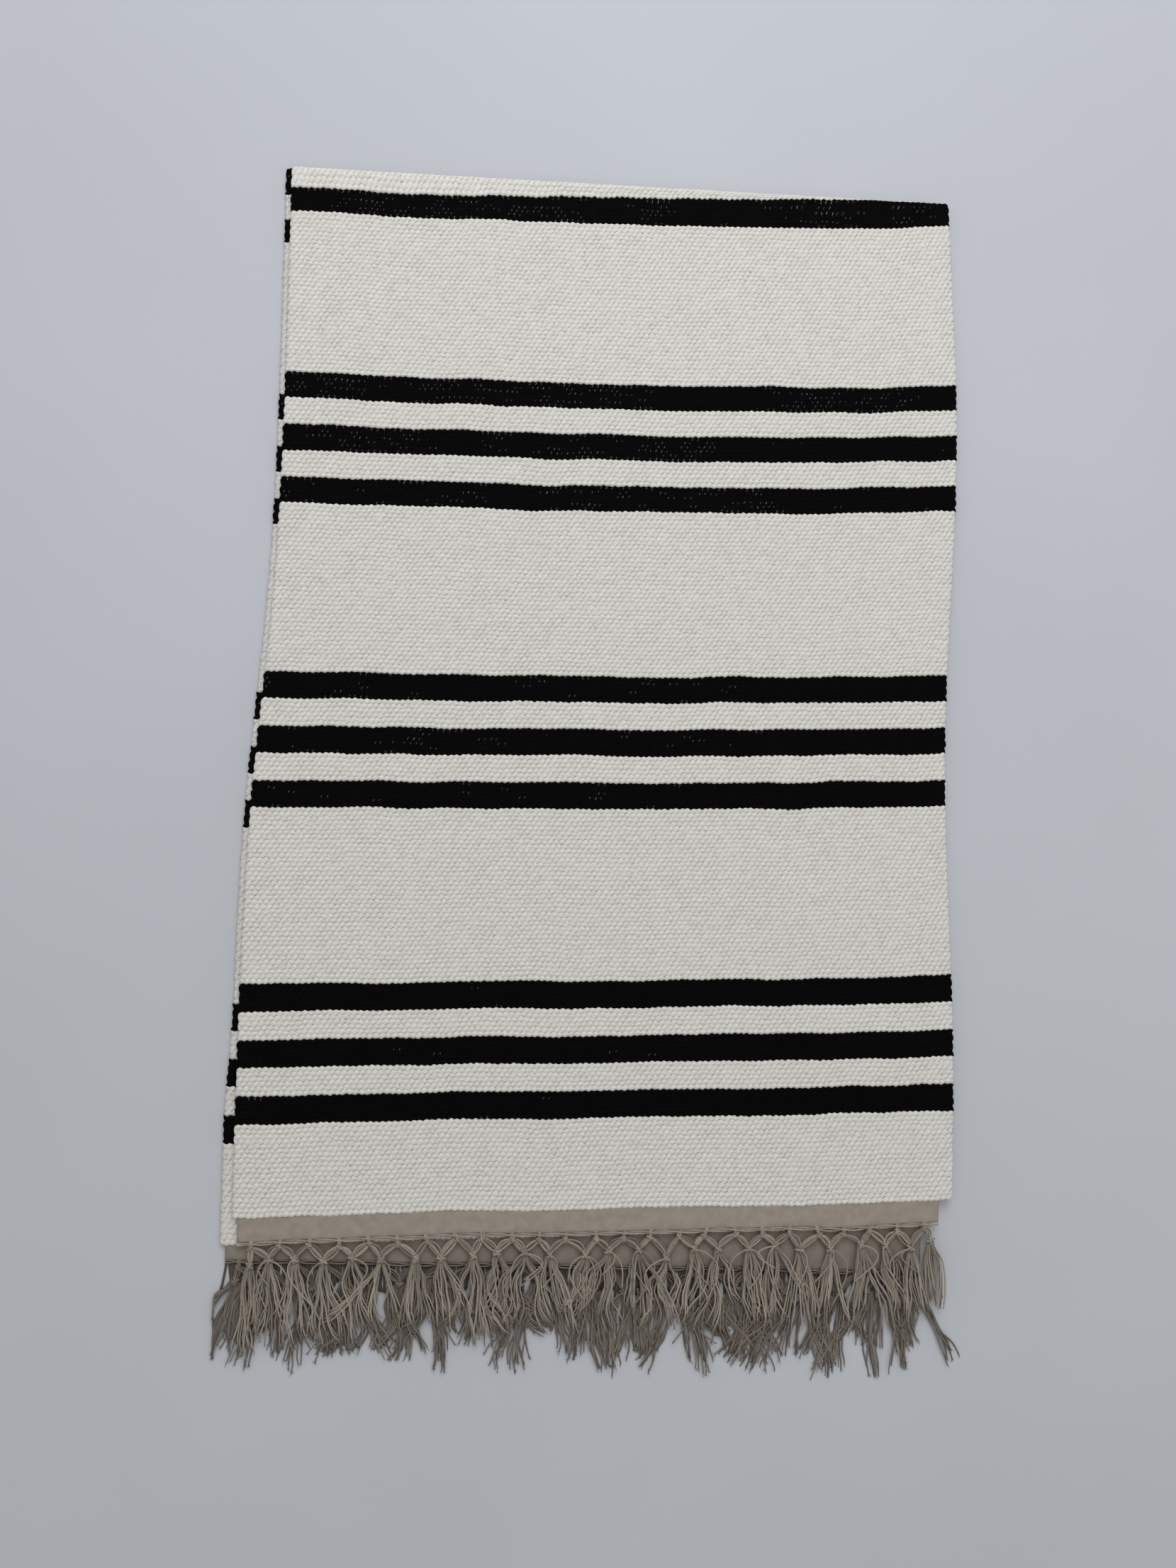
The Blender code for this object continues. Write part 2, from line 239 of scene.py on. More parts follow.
def tubes(paths: Array, radii: Array, sides: int, across: Array) -> tuple[Array, list[Array], Array]:
    """Round strands along many paths at once.

    Each ring stands square to its path: one arm is the path's direction crossed with a given vector, the
    other is square to both, and the ring's points are the cosine and sine of the angle along the two arms.

    Args:
        paths: strands by points by 3, in metres.
        radii: strands by points, in metres.
        sides: points in a ring.
        across: strands by 3, a vector that no part of the strand runs along.

    Returns:
        The vertices, the faces with a cap on each end, and a pair for each vertex: metres along the strand,
        and turns round it.
    """
    strands, count = paths.shape[:2]
    along = np.gradient(paths, axis=1)
    along /= np.linalg.norm(along, axis=2, keepdims=True) + 1e-12
    arm = np.cross(along, across[:, None, :])
    arm /= np.linalg.norm(arm, axis=2, keepdims=True) + 1e-12
    other = np.cross(along, arm)
    angle = 2 * math.pi * np.arange(sides) / sides
    reach = radii[..., None, None]
    rings = arm[:, :, None, :] * np.cos(angle)[:, None] + other[:, :, None, :] * np.sin(angle)[:, None]
    points = paths[:, :, None, :] + rings * reach
    index = np.arange(strands * count * sides).reshape(strands, count, sides)
    turned = np.roll(index, -1, axis=2)
    walls = np.stack([index[:, :-1], turned[:, :-1], turned[:, 1:], index[:, 1:]], -1).reshape(-1, 4)
    caps = np.concatenate([index[:, 0, ::-1], index[:, -1]])
    steps = np.linalg.norm(np.diff(paths, axis=1), axis=2)
    metres = np.concatenate([np.zeros((strands, 1)), np.cumsum(steps, axis=1)], axis=1)
    uv = np.stack(np.broadcast_arrays(metres[:, :, None], (angle / (2 * math.pi))[None, None, :]), -1)
    return points.reshape(-1, 3), [walls, caps], uv.reshape(-1, 2)


# ---------------------------------------------------------------- how the cloth lies


@dataclass(frozen=True)
class Selvedge:
    """A selvedge seen from above: an S curve, the hyperbolic tangent of y, with a long cosine wave on it."""

    middle: float
    swing: float
    centre: float
    reach: float
    wave: float = 0.0
    wave_start: float = 0.30
    wave_length: float = 0.56

    def at(self, y: Array) -> Array:
        """The selvedge's x at places along the rug."""
        turn = 2 * math.pi * (y - self.wave_start) / self.wave_length
        return self.middle + self.swing * np.tanh((y - self.centre) / self.reach) + self.wave * np.cos(turn)


LEFT_SELVEDGE = Selvedge(middle=-0.2965, swing=0.0125, centre=0.05, reach=0.15)
RIGHT_SELVEDGE = Selvedge(middle=0.3035, swing=0.0065, centre=0.10, reach=0.20, wave=0.0035)


@dataclass(frozen=True)
class Lay:
    """How one leaf lies: where its selvedges run, how far its bands slip, and how it bends at the fold.

    A place on a leaf is a share across, from 0 at the left selvedge to 1 at the right one, a run, which is
    the distance along the cloth from the hinge line, and a height off the cloth's middle, outwards from the
    fold's centre. Runs below 0 go round the bend, which stands out from the hinge line by the crest, since
    the fold is looser than a half circle.
    """

    leaf: Leaf
    hinge_y: float
    hinge_z: float
    middle: float
    header_run: float
    crest: float = 0.0040
    crest_run: float = 0.012
    overhang: float = 0.0055
    end_overhang: float = 0.0045
    underlap: float = 0.006
    end_underlap: float = 0.007
    droop: float = 5.0
    droop_run: float = 0.045
    hold_run: float = 0.014
    most_bend_share: float = 0.72
    softness: float = 0.0008

    @property
    def out(self) -> float:
        """1 if the leaf's outer face is its top, -1 if it is its underside."""
        return 1.0 if self.leaf is Leaf.UPPER else -1.0

    @property
    def bend_radius(self) -> float:
        """From the hinge line to the middle of the cloth."""
        return abs(self.middle - self.hinge_z)

    @property
    def outer_radius(self) -> float:
        """From the hinge line to the cloth's outer face."""
        return self.bend_radius + 0.5 * CLOTH_THICKNESS

    @property
    def bend_run(self) -> float:
        """The run at the fold's outermost line: a quarter turn of the cloth's middle, below 0."""
        return -self.bend_radius * math.pi / 2

    def left(self, y: Array) -> Array:
        """The left selvedge's x: on the lower leaf it lies further out, most of all near the fringe."""
        line = LEFT_SELVEDGE.at(y)
        if self.leaf is Leaf.LOWER:
            line = line - self.overhang - self.end_overhang * smoothstep((-0.2 - y) / 0.12)
        return line

    def right(self, y: Array) -> Array:
        """The right selvedge's x: on the lower leaf it lies further in, most of all near the fringe."""
        line = RIGHT_SELVEDGE.at(y)
        if self.leaf is Leaf.LOWER:
            line = line - self.underlap - self.end_underlap * smoothstep((-0.28 - y) / 0.08)
        return line

    def slip(self, share: Array, run: Array) -> Array:
        """How far a weft line has slipped towards the fold.

        It is worked out in millimetres. On the upper leaf it is a tilt and a bow across the cloth, both
        stronger near the fold, less a droop by the left selvedge that fades as the run grows, and slow waves
        come on top. On the lower leaf it is a small tilt near the fold that turns the other way in the rest.
        A hold takes that tilt back along the line where the header starts, and its end leans again.

        Args:
            share: from 0 at the left selvedge to 1 at the right.
            run: metres from the hinge line, before the slip.

        Returns:
            The slip in metres.
        """
        side = 2.0 * share - 1.0
        if self.leaf is Leaf.UPPER:
            height = (self.hinge_y - run) / 0.5
            slope = 3.3 + 2.6 * height + 1.6 * side * side
            bow = 2.7 + 4.2 * height
            droop = self.droop * smoothstep(-side / 0.8) * np.exp(-run / self.droop_run)
            waves = 0.55 * ripple(share * 4.0, run * 3.0, 21) + 0.25 * ripple(share * 15.0, run * 9.0, 22)
            return 0.001 * (-0.5 + slope * side + bow * side * side - droop + waves)
        far = smoothstep(run / 0.2)
        past = (run - self.header_run) / self.hold_run
        hold = smoothstep(past + 2) * (1 - smoothstep(past))
        tilt = far * (-0.5 - 9.5 * side) + hold * (5.0 + 12.5 * side) - smoothstep(past) * (0.5 + 0.8 * side)
        return 0.001 * ((1 - far) * (-2.0 + 2.0 * side) + tilt)

    def line(self, share: Array, run: Array) -> Array:
        """The run of a weft line once it has slipped, held softly short of the fold's outermost line.

        Args:
            share: from 0 at the left selvedge to 1 at the right.
            run: metres from the hinge line, before the slip.

        Returns:
            The run after the slip.
        """
        moved = run - self.slip(share, run)
        least = self.bend_run * self.most_bend_share
        return least + np.logaddexp(0.0, (moved - least) / self.softness) * self.softness

    def place(self, share: Array, run: Array, height: Array) -> Array:
        """The point in space of a place on the leaf.

        Past the hinge line, y and z turn about it: the radius is the bend's plus the height, and the angle is
        the run over the bend's radius. Before it, y is the hinge's less the run, and z the middle's plus the
        height, outwards. The crest is added to y, easing in as the run falls to 0.

        Args:
            share: from 0 at the left selvedge to 1 at the right.
            run: metres from the hinge line, along the middle of the cloth.
            height: metres off the middle of the cloth, outwards.

        Returns:
            Points, with x, y and z last.
        """
        share, run, height = np.broadcast_arrays(share, run, height)
        angle = np.clip(-run, 0.0, None) / self.bend_radius
        radius = self.bend_radius + height
        y = np.where(run >= 0, self.hinge_y - run, self.hinge_y + radius * np.sin(angle))
        y = y + self.crest * smoothstep(1 - run / self.crest_run)
        z = np.where(
            run >= 0, self.middle + self.out * height, self.hinge_z + self.out * radius * np.cos(angle)
        )
        x = self.left(y) + share * (self.right(y) - self.left(y))
        return np.stack([x, y, z], -1)


# ---------------------------------------------------------------- the woven bands


@dataclass(frozen=True)
class Weave:
    """The plain weave: how many bumps lie across, how deep its relief is, and how fine the grids are.

    The upper leaf's outer face lies on top, so its grid is the finest. The one on the floor is the coarsest.
    """

    bumps: int = 119
    pick: float = 0.0039
    fine_columns: int = 4
    middling_columns: int = 2
    coarse_columns: int = 1
    upper_rows: int = 3
    lower_rows: int = 2
    depth: float = 0.00075
    scallop: float = 0.00050
    slant: float = 0.0006
    edge: float = 0.0028
    edge_bulge: float = 0.0008
    black_edge_bulge: float = 0.0011
    turn_reach: float = 0.004

    def relief(self, bump: Array, pick: Array) -> Array:
        """How far the yarn stands up, from 0 in the groove between two picks to about 1 on a bump.

        Along a pick it is a power of the sine of the bump's own phase, over a floor where two bumps meet, and
        across it a power of the sine of the pick's phase. Each bump has its own random fullness.

        Args:
            bump: places across, counted in bumps.
            pick: places along, counted in picks.

        Returns:
            The relief at each place.
        """
        row = np.floor(pick + 1e-6)
        phase = bump + 0.5 * np.mod(row, 2)
        inside = pick - row
        along = 0.45 + 0.55 * np.abs(np.sin(math.pi * phase)) ** 0.6
        across = 0.15 + 0.85 * np.clip(np.sin(math.pi * inside), 0, 1) ** 0.6
        return along * across * (0.76 + 0.44 * cell_noise(phase, row, 1))

    def shift(self, bump: Array, pick: Array) -> Array:
        """How far a point moves along the run, so that the bumps of neighbouring picks interlock.

        Bumps push the line between two picks to and fro as the cosine of their phase, and each bump slants by
        the sine of its phase times the sine of the pick's.

        Args:
            bump: places across, counted in bumps.
            pick: places along, counted in picks.

        Returns:
            The shift in metres.
        """
        row = np.floor(pick + 1e-6)
        phase = bump + 0.5 * np.mod(row, 2)
        inside = pick - row
        push = self.scallop * np.cos(2 * math.pi * phase) * (1 - 2 * inside)
        lean = self.slant * np.sin(2 * math.pi * phase) * np.sin(math.pi * inside)
        return push - lean


@dataclass
class Band:
    """One band of weft in one yarn, from one weft line to the next."""

    lay: Lay
    weave: Weave
    name: str
    yarn: Yarn
    start: float
    length: float
    first_pick: int
    bends: bool = False

    @property
    def cut_length(self) -> float:
        """The band's length laid flat, with its share of the bend if it has one."""
        return self.length + (self.lay.crest - self.lay.bend_run if self.bends else 0.0)

    @property
    def picks(self) -> int:
        """How many picks fill the band."""
        return max(2, round(self.cut_length / self.weave.pick))

    @property
    def piece_name(self) -> str:
        """The piece's name, which is its CAD node's with a word for the cloth."""
        return f"{self.lay.leaf.value}_{self.name}_weave"

    def face(self, columns_per_bump: int, outer: bool) -> tuple[Array, Array]:
        """One face of the band: a grid of rows along the run and columns across.

        The face's height off the middle is half the cloth less the weave's depth where the relief is low, and
        it closes in at the selvedges along a quarter circle. There the yarn turns back and bulges out, by the
        size of a sine that is 0 at every second pick.

        Args:
            columns_per_bump: how fine the grid is across.
            outer: True for the face away from the other leaf.

        Returns:
            The points, rows by columns by 3, and a pair for each point: bumps across and picks along.
        """
        weave, lay = self.weave, self.lay
        rows = weave.upper_rows if lay.leaf is Leaf.UPPER else weave.lower_rows
        pick = self.first_pick + np.arange(self.picks * rows + 1) / rows
        bump = np.arange(weave.bumps * columns_per_bump + 1) / columns_per_bump
        pick, bump = pick[:, None], bump[None, :]
        share = bump / weave.bumps
        first = lay.bend_run if self.bends else lay.line(share, self.start)
        last = lay.line(share, self.start + self.length)
        part = (pick - self.first_pick) / self.picks
        run = first + (last - first) * part
        squeeze = np.clip((run - lay.bend_run) / weave.turn_reach, 0, 1)
        loose = 0.00035 * ripple(share * 9, run * 14, 2) + 0.00025 * ripple(share * 60, run * 40, 4)
        run = run + squeeze * (weave.shift(bump, pick) + loose)
        height = 0.5 * CLOTH_THICKNESS - weave.depth * (1 - weave.relief(bump, pick))
        height = height + 0.00012 * ripple(share * 14, run * 20, 3)
        width = lay.right(lay.hinge_y - run) - lay.left(lay.hinge_y - run)
        inset = np.minimum(share, 1 - share) * width
        height = height * np.sqrt(1 - 0.93 * (1 - np.clip(inset / weave.edge, 0, 1)) ** 2)
        if self.bends and self.yarn is Yarn.BLACK:
            height = height + self.peep(share, run)
        points = lay.place(share, run, height if outer else -height)
        counted = pick + 1.0 * (share > 0.5)
        turn = np.abs(np.sin(0.5 * math.pi * counted))
        fullness = 0.6 + 0.8 * cell_noise(0.5 * counted, np.sign(share - 0.5), 5)
        bulge = weave.black_edge_bulge if self.yarn is Yarn.BLACK else weave.edge_bulge
        close = np.clip(1 - inset / weave.turn_reach, 0, 1)
        points[..., 0] += np.sign(share - 0.5) * bulge * fullness * turn * close
        return points, np.stack(np.broadcast_arrays(bump, pick), -1)

    def peep(self, share: Array, run: Array) -> Array:
        """How far a few black yarns of the middle stripe stand out round the bend, on its left part only.

        It is a ripple across the cloth above a threshold, and it falls off towards the fold's outermost line.

        Args:
            share: from 0 at the left selvedge to 1 at the right.
            run: metres from the hinge line, below 0 round the bend.

        Returns:
            The extra height in metres.
        """
        lumps = np.clip(ripple(share * 34, share * 0, 31) - 0.35, 0, 1) * smoothstep((0.62 - share) / 0.1)
        return 0.0016 * lumps * smoothstep(1 - run / self.lay.bend_run) * (run < 0)

    def build(self, material: bpy.types.Material) -> bpy.types.Object:
        """Makes the band's closed sheet, from the face on top to the face below.

        Args:
            material: the yarn's finish.

        Returns:
            The band.
        """
        weave, upper = self.weave, self.lay.leaf is Leaf.UPPER
        front, front_uv = self.face(weave.fine_columns if upper else weave.middling_columns, outer=upper)
        back, back_uv = self.face(weave.middling_columns if upper else weave.coarse_columns, outer=not upper)
        points = np.concatenate([front.reshape(-1, 3), back.reshape(-1, 3)])
        uv = np.concatenate([front_uv.reshape(-1, 2), back_uv.reshape(-1, 2)])
        faces = outward(points, sheet_faces(front.shape[0], front.shape[1], back.shape[1]))
        return make_piece(self.piece_name, points, faces, uv, material, self.flecks(points))

    def flecks(self, points: Array) -> Array:
        """How much of the pale warp shows between the picks: most near the fold on the left, with patches.

        Args:
            points: places on the band.

        Returns:
            From 0 to 1 at each of them.
        """
        patches = 0.5 + 0.5 * ripple(points[:, 0] * 9, points[:, 1] * 9, 7)
        rise = smoothstep((points[:, 1] + 0.15) / 0.5)
        return np.clip(0.01 + 0.30 * rise * patches - 0.20 * smoothstep((points[:, 0] - 0.05) / 0.25), 0, 1)


@dataclass
class Header:
    """The thin plain band past the last ivory one, drawn in a little at both selvedges."""

    lay: Lay
    start: float
    length: float
    left_inset: float = 0.004
    right_inset: float = 0.011
    tuck: float = 0.0012
    edge: float = 0.002
    # Painted shadow: how much darker the lower leaf's header is drawn, evenly, for the upper leaf's shadow on
    # it.
    lower_painted_shadow: float = 0.26
    rows: int = 13
    columns: int = 301

    @property
    def flat_size(self) -> tuple[float, float]:
        """Its width and length laid flat."""
        return CLOTH_WIDTH - self.left_inset - self.right_inset, self.length

    def end_line(self, share: Array) -> Array:
        """The run of the header's free end."""
        return self.lay.line(share, self.start + self.length) + 0.0006 * ripple(share * 6, share * 0, 11)

    def point(self, share: Array, run: Array, height: Array) -> Array:
        """A place on the header, with its share counted between its own selvedges.

        Args:
            share: from 0 at the header's left selvedge to 1 at its right one.
            run: metres from the hinge line.
            height: metres off the middle of the header.

        Returns:
            Points, with x, y and z last.
        """
        points = self.lay.place(share, run, height)
        points[..., 0] += (1 - share) * self.left_inset - share * self.right_inset
        return points

    def build(self, material: bpy.types.Material) -> bpy.types.Object:
        """Makes the header as one closed sheet that starts just inside the ivory band.

        Its height off the middle closes in at both selvedges along a quarter circle, and eases down at the
        free end.

        Args:
            material: the header's finish.

        Returns:
            The header.
        """
        share = np.linspace(0, 1, self.columns)[None, :]
        part = np.linspace(0, 1, self.rows)[:, None]
        first = self.lay.line(share, self.start) - self.tuck
        run = first + (self.end_line(share) - first) * part
        inset = np.minimum(share, 1 - share) * CLOTH_WIDTH
        close = np.sqrt(1 - 0.9 * (1 - np.clip(inset / self.edge, 0, 1)) ** 2)
        close = close * np.sqrt(1 - 0.7 * smoothstep((part - 0.85) / 0.15))
        height = (0.5 * HEADER_THICKNESS + 0.0002 * ripple(share * 20, run * 60, 12)) * close
        front, back = self.point(share, run, height), self.point(share, run, -height)
        uv = np.stack(np.broadcast_arrays(share * CLOTH_WIDTH, run), -1).reshape(-1, 2)
        points = np.concatenate([front.reshape(-1, 3), back.reshape(-1, 3)])
        faces = outward(points, sheet_faces(self.rows, self.columns, self.columns))
        name = f"{self.lay.leaf.value}_header_weave"
        # Painted shadow: the Shade attribute darkens the lower header's colour evenly, for the shade under
        # the upper leaf; the upper header gets none.
        painted_shadow_values = np.full(len(points), 0.0 if self.lay.leaf is Leaf.UPPER else self.lower_painted_shadow)
        return make_piece(name, points, faces, np.concatenate([uv, uv]), material, painted_shadow_values)


@dataclass
class WarpSheet:
    """The warp threads of a leaf, side by side inside the bands."""

    lay: Lay
    length: float
    first_share: float = 0.012
    last_share: float = 0.975
    margins_across: float = 0.022
    end_margin: float = 0.004
    half_thickness: float = 0.0004
    rows: int = 91
    columns: int = 61

    @property
    def flat_size(self) -> tuple[float, float]:
        """Its width and length laid flat."""
        return CLOTH_WIDTH - self.margins_across, self.length - self.lay.crest_run - self.end_margin

    def build(self, material: bpy.types.Material) -> bpy.types.Object:
        """Makes the thin closed sheet of warp, well inside the woven bands.

        Args:
            material: the warp's finish.

        Returns:
            The sheet.
        """
        start = self.lay.crest_run
        part = np.linspace(0, 1, self.rows)[:, None]
        share = np.linspace(self.first_share, self.last_share, self.columns)[None, :]
        run = start + (self.lay.line(share, self.length) - self.end_margin - start) * part
        front = self.lay.place(share, run, np.full_like(run, self.half_thickness))
        back = self.lay.place(share, run, np.full_like(run, -self.half_thickness))
        uv = np.stack(np.broadcast_arrays(share * CLOTH_WIDTH, run), -1).reshape(-1, 2)
        points = np.concatenate([front.reshape(-1, 3), back.reshape(-1, 3)])
        faces = outward(points, sheet_faces(self.rows, self.columns, self.columns))
        name = f"{self.lay.leaf.value}_warp_threads"
        return make_piece(name, points, faces, np.concatenate([uv, uv]), material)


# ---------------------------------------------------------------- the fringe


@dataclass
class Strands:
    """Strands gathered for one piece: their meshes, added up."""

    points: list[Array]
    polygons: list[Array]
    uv: list[Array]
    shade: list[Array]
    total: int = 0

    @classmethod
    def empty(cls) -> "Strands":
        """A piece with no strand yet."""
        return cls([], [], [], [])

    def add(self, paths: Array, radii: Array, sides: int, across: Array, shade: Array) -> None:
        """Adds strands as round tubes.

        Args:
            paths: strands by points by 3.
            radii: a radius for each point of each strand, or one that broadcasts.
            sides: points in a ring.
            across: a vector that no strand runs along, or one for each strand.
            shade: how pale each strand is, from 0 to 1, or each point of each strand.
        """
        strands, count = paths.shape[:2]
        tone = shade[:, None] if shade.ndim == 1 else shade
        full = np.broadcast_to(radii, (strands, count))
        points, polygons, uv = tubes(paths, full, sides, np.broadcast_to(across, (strands, 3)))
        self.points.append(points)
        self.polygons += [faces + self.total for faces in polygons]
        self.uv.append(uv)
        self.shade.append(np.repeat(np.broadcast_to(tone, (strands, count)).ravel(), sides))
        self.total += len(points)

    def build(self, name: str, material: bpy.types.Material) -> bpy.types.Object:
        """Makes the piece.

        Args:
            name: the piece's name.
            material: the strands' finish.

        Returns:
            The new object.
        """
        points = np.concatenate(self.points)
        shade = np.concatenate(self.shade)
        faces = outward(points, self.polygons)
        return make_piece(name, points, faces, np.concatenate(self.uv), material, shade)


@dataclass
class Fringe:
    """The knotted fringe at the end of a leaf: a twined edge, two rows of knots, and the tassels.

    Each row's knots are set out once, and the pieces of the fringe then draw from one random stream in turn.
    """

    header: Header
    knots: int
    seed: int
    knot_height: float
    tip_height: float
    # Below 1 it darkens every strand of the fringe, as painted shadow.
    paleness: float = 1.0
    short_warp_ends: bool = False
    shortest: float = 0.70
    root_width: float = 0.0052
    loose_loops: int = 34
    first_drop: float = 0.0050
    second_drop: float = 0.0180
    strand: float = 0.00070
    tassel: float = 0.064
    strands_per_tassel: int = 22
    strands_per_half: int = 5
    clumps_per_tassel: int = 3
    steps_per_strand: int = 14
    fibres_per_strand: int = 4
    first_shake: tuple[float, float] = (0.0014, 0.0009)
    second_shake: tuple[float, float] = (0.0022, 0.0021)
    least_x: float = -0.3235
    most_x: float = 0.3300
    soft_limit: float = 0.0022
    random: np.random.Generator = field(init=False)
    roots: Array = field(init=False)
    first: Array = field(init=False)
    second: Array = field(init=False)

    def __post_init__(self) -> None:
        """Sets out the roots along the header's end, the first knots below them, and the second between."""
        self.random = np.random.default_rng(SEED + self.seed)
        share = (np.arange(self.knots) + 0.5) / self.knots
        ends = self.header.point(share, self.header.end_line(share), np.zeros(self.knots))
        self.roots = ends
        shake = self.random.normal(0, 1, (self.knots, 2))
        self.first = ends.copy()
        self.first[:, 0] += self.first_shake[0] * shake[:, 0]
        self.first[:, 1] -= self.first_drop + self.first_shake[1] * shake[:, 1]
        self.first[:, 2] = self.knot_height
        half = 0.3 * (ends[1, 0] - ends[0, 0])
        outer = np.concatenate([ends[:1] - [half, 0, 0], ends, ends[-1:] + [half, 0, 0]])
        self.second = 0.5 * (outer[:-1] + outer[1:])
        shake = self.random.normal(0, 1, (self.knots + 1, 2))
        self.second[:, 0] += self.second_shake[0] * shake[:, 0]
        self.second[:, 1] -= self.second_drop + self.second_shake[1] * shake[:, 1]
        self.second[:, 2] = self.knot_height

    def twined_edge(self, material: bpy.types.Material) -> bpy.types.Object:
        """Two thin threads twisted round each other along the header's end.

        They make half a turn from each knot to the next: a thread's distance from the line is the cosine of
        the turn, its height the sine, and the second thread is half a turn behind.

        Args:
            material: the strands' finish.

        Returns:
            The twined threads.
        """
        share = np.linspace(0, 1, self.knots * 10 + 1)
        base = self.header.point(share, self.header.end_line(share) + 0.0013, np.zeros_like(share))
        turn = math.pi * share * self.knots
        turns = np.stack([turn, turn + math.pi])
        both = np.stack([base, base])
        both[..., 1] += 0.0011 * np.cos(turns)
        both[..., 2] += 0.0008 + 0.0006 * np.sin(turns)
        gathered = Strands.empty()
        tones = self.paleness * np.array([0.75, 0.9])
        gathered.add(both, np.full((2, 1), 0.0006), 6, UP, tones)
        return gathered.build(f"{self.header.lay.leaf.value}_twined_threads", material)

    def wraps(self, gathered: Strands, centres: Array, radius: float, length: float) -> None:
        """Winds the yarn round each knot.

        A wrap is a helix about the bundle: the angle runs through its turns, the ring swells towards the
        middle as half a sine, and it lies a little flatter than it is wide. Two more strands cross over it.

        Args:
            gathered: the piece that the strands go to.
            centres: the knots' middles.
            radius: the helix's radius.
            length: the knot's length along the bundle.
        """
        count, turns = len(centres), 2.6
        lean = self.random.normal(0, 0.45, count)
        axis = np.stack([np.sin(lean), -np.cos(lean), np.zeros(count)], -1)
        side = np.stack([np.cos(lean), np.sin(lean), np.zeros(count)], -1)
        part = np.linspace(0, 1, 25)
        angle = 2 * math.pi * turns * part[None, :] + self.random.uniform(0, 6, (count, 1))
        swell = radius * (0.70 + 0.35 * np.sin(math.pi * part))[None, :]
        size = self.random.uniform(0.80, 1.18, (count, 1))
        paths = centres[:, None, :] + axis[:, None, :] * ((part - 0.5) * length)[None, :, None]
        paths = paths + side[:, None, :] * (np.cos(angle) * swell * size)[..., None]
        paths[..., 2] += np.sin(angle) * swell * size * 0.72
        shade = self.paleness * self.random.uniform(0.35, 0.8, count)
        gathered.add(paths, np.full((1, 1), 0.00092), 6, axis, shade)
        for sign in (-1.0, 1.0):
            part = np.linspace(-1, 1, 9)
            over = centres[:, None, :] + axis[:, None, :] * (part * 0.55 * length)[None, :, None]
            over = over + side[:, None, :] * (sign * part * 0.9 * radius)[None, :, None]
            over[..., 2] += radius * 0.85 * np.sqrt(1 - 0.8 * part * part)
            shade = self.paleness * self.random.uniform(0.4, 0.9, count)
            gathered.add(over, np.full((1, 1), 0.00088), 5, UP, shade)

    def halves(self, gathered: Strands, ends: Array, joins: Array) -> None:
        """Strands from each first knot to one beside it in the second row.

        Each is a cubic curve that leaves a little sideways and comes in a little from above, and the strands
        lie side by side, furthest apart half way.

        Args:
            gathered: the piece that the strands go to.
            ends: the first knots.
            joins: the second knot that each one's half bundle runs to.
        """
        across = joins - ends
        swing = self.random.uniform(0.6, 1.5, (len(ends), 1))
        first = ends + across * [0.38, 0.20, 0] * swing
        second = joins - across * [0.16, 0.42, 0] * swing
        part = np.linspace(0, 1, 11)[None, :, None]
        curve = (
            (1 - part) ** 3 * ends[:, None]
            + 3 * (1 - part) ** 2 * part * first[:, None]
            + 3 * (1 - part) * part**2 * second[:, None]
            + part**3 * joins[:, None]
        )
        flat = np.cross(across, [0, 0, 1.0])
        flat /= np.linalg.norm(flat, axis=1, keepdims=True)
        count = self.strands_per_half
        spread = (np.arange(count) - 0.5 * (count - 1)) * 0.00115
        fan = (0.25 + 0.75 * np.sin(math.pi * part[..., 0])) * np.ones((len(ends), 1))
        arch = np.sin(math.pi * part[..., 0])
        for offset in spread:
            loose = offset + self.random.normal(0, 0.00060, (len(ends), 1))
            paths = curve + flat[:, None, :] * (fan * loose)[..., None]
            paths[..., 2] += self.random.uniform(-0.0003, 0.0011, (len(ends), 1)) * arch
            shade = self.paleness * self.random.uniform(0.25, 1.0, len(ends))
            gathered.add(paths, np.full((1, 1), self.strand * 1.08), 5, UP, shade)

    def net(self, material: bpy.types.Material) -> bpy.types.Object:
        """The necks, both rows of knots and the half bundles between them, as one piece.

        A neck's strands run straight from the header to the first knot, with a low arch on them.

        Args:
            material: the strands' finish.

        Returns:
            The net.
        """
        gathered = Strands.empty()
        for offset in np.linspace(-0.0014, 0.0014, 4):
            top = self.roots + [offset, 0.0016, 0.0006]
            part = np.linspace(0, 1, 5)[None, :, None]
            paths = top[:, None, :] * (1 - part) + (self.first + [0.5 * offset, 0, 0])[:, None, :] * part
            paths[..., 2] += 0.0008 * np.sin(math.pi * part[..., 0])
            shade = self.paleness * self.random.uniform(0.3, 0.9, self.knots)
            gathered.add(paths, np.full((1, 1), 0.00072), 5, UP, shade)
        if self.short_warp_ends:
            self.short_ends(gathered)
        self.halves(gathered, self.first, self.second[:-1])
        self.halves(gathered, self.first, self.second[1:])
        self.wraps(gathered, self.first, 0.0020, 0.0044)
        self.wraps(gathered, self.second, 0.0026, 0.0056)
        return gathered.build(f"{self.header.lay.leaf.value}_fringe_net", material)

    def short_ends(self, gathered: Strands) -> None:
        """The short warp ends behind the knots, side by side on the floor, straight but for a growing lean.

        Args:
            gathered: the piece that the strands go to.
        """
        count = self.knots * 12
        share = (np.arange(count) + 0.5) / count
        root = self.header.point(share, self.header.end_line(share) - 0.001, np.zeros(count))
        part = np.linspace(0, 1, 6)[None, :]
        reach = self.random.uniform(0.018, 0.028, (count, 1))
        lean = self.random.normal(0, 0.0030, (count, 1))
        x = root[:, :1] + lean * part**1.5
        paths = np.stack([x, root[:, 1:2] - reach * part, np.full_like(x, 0.00115)], -1)
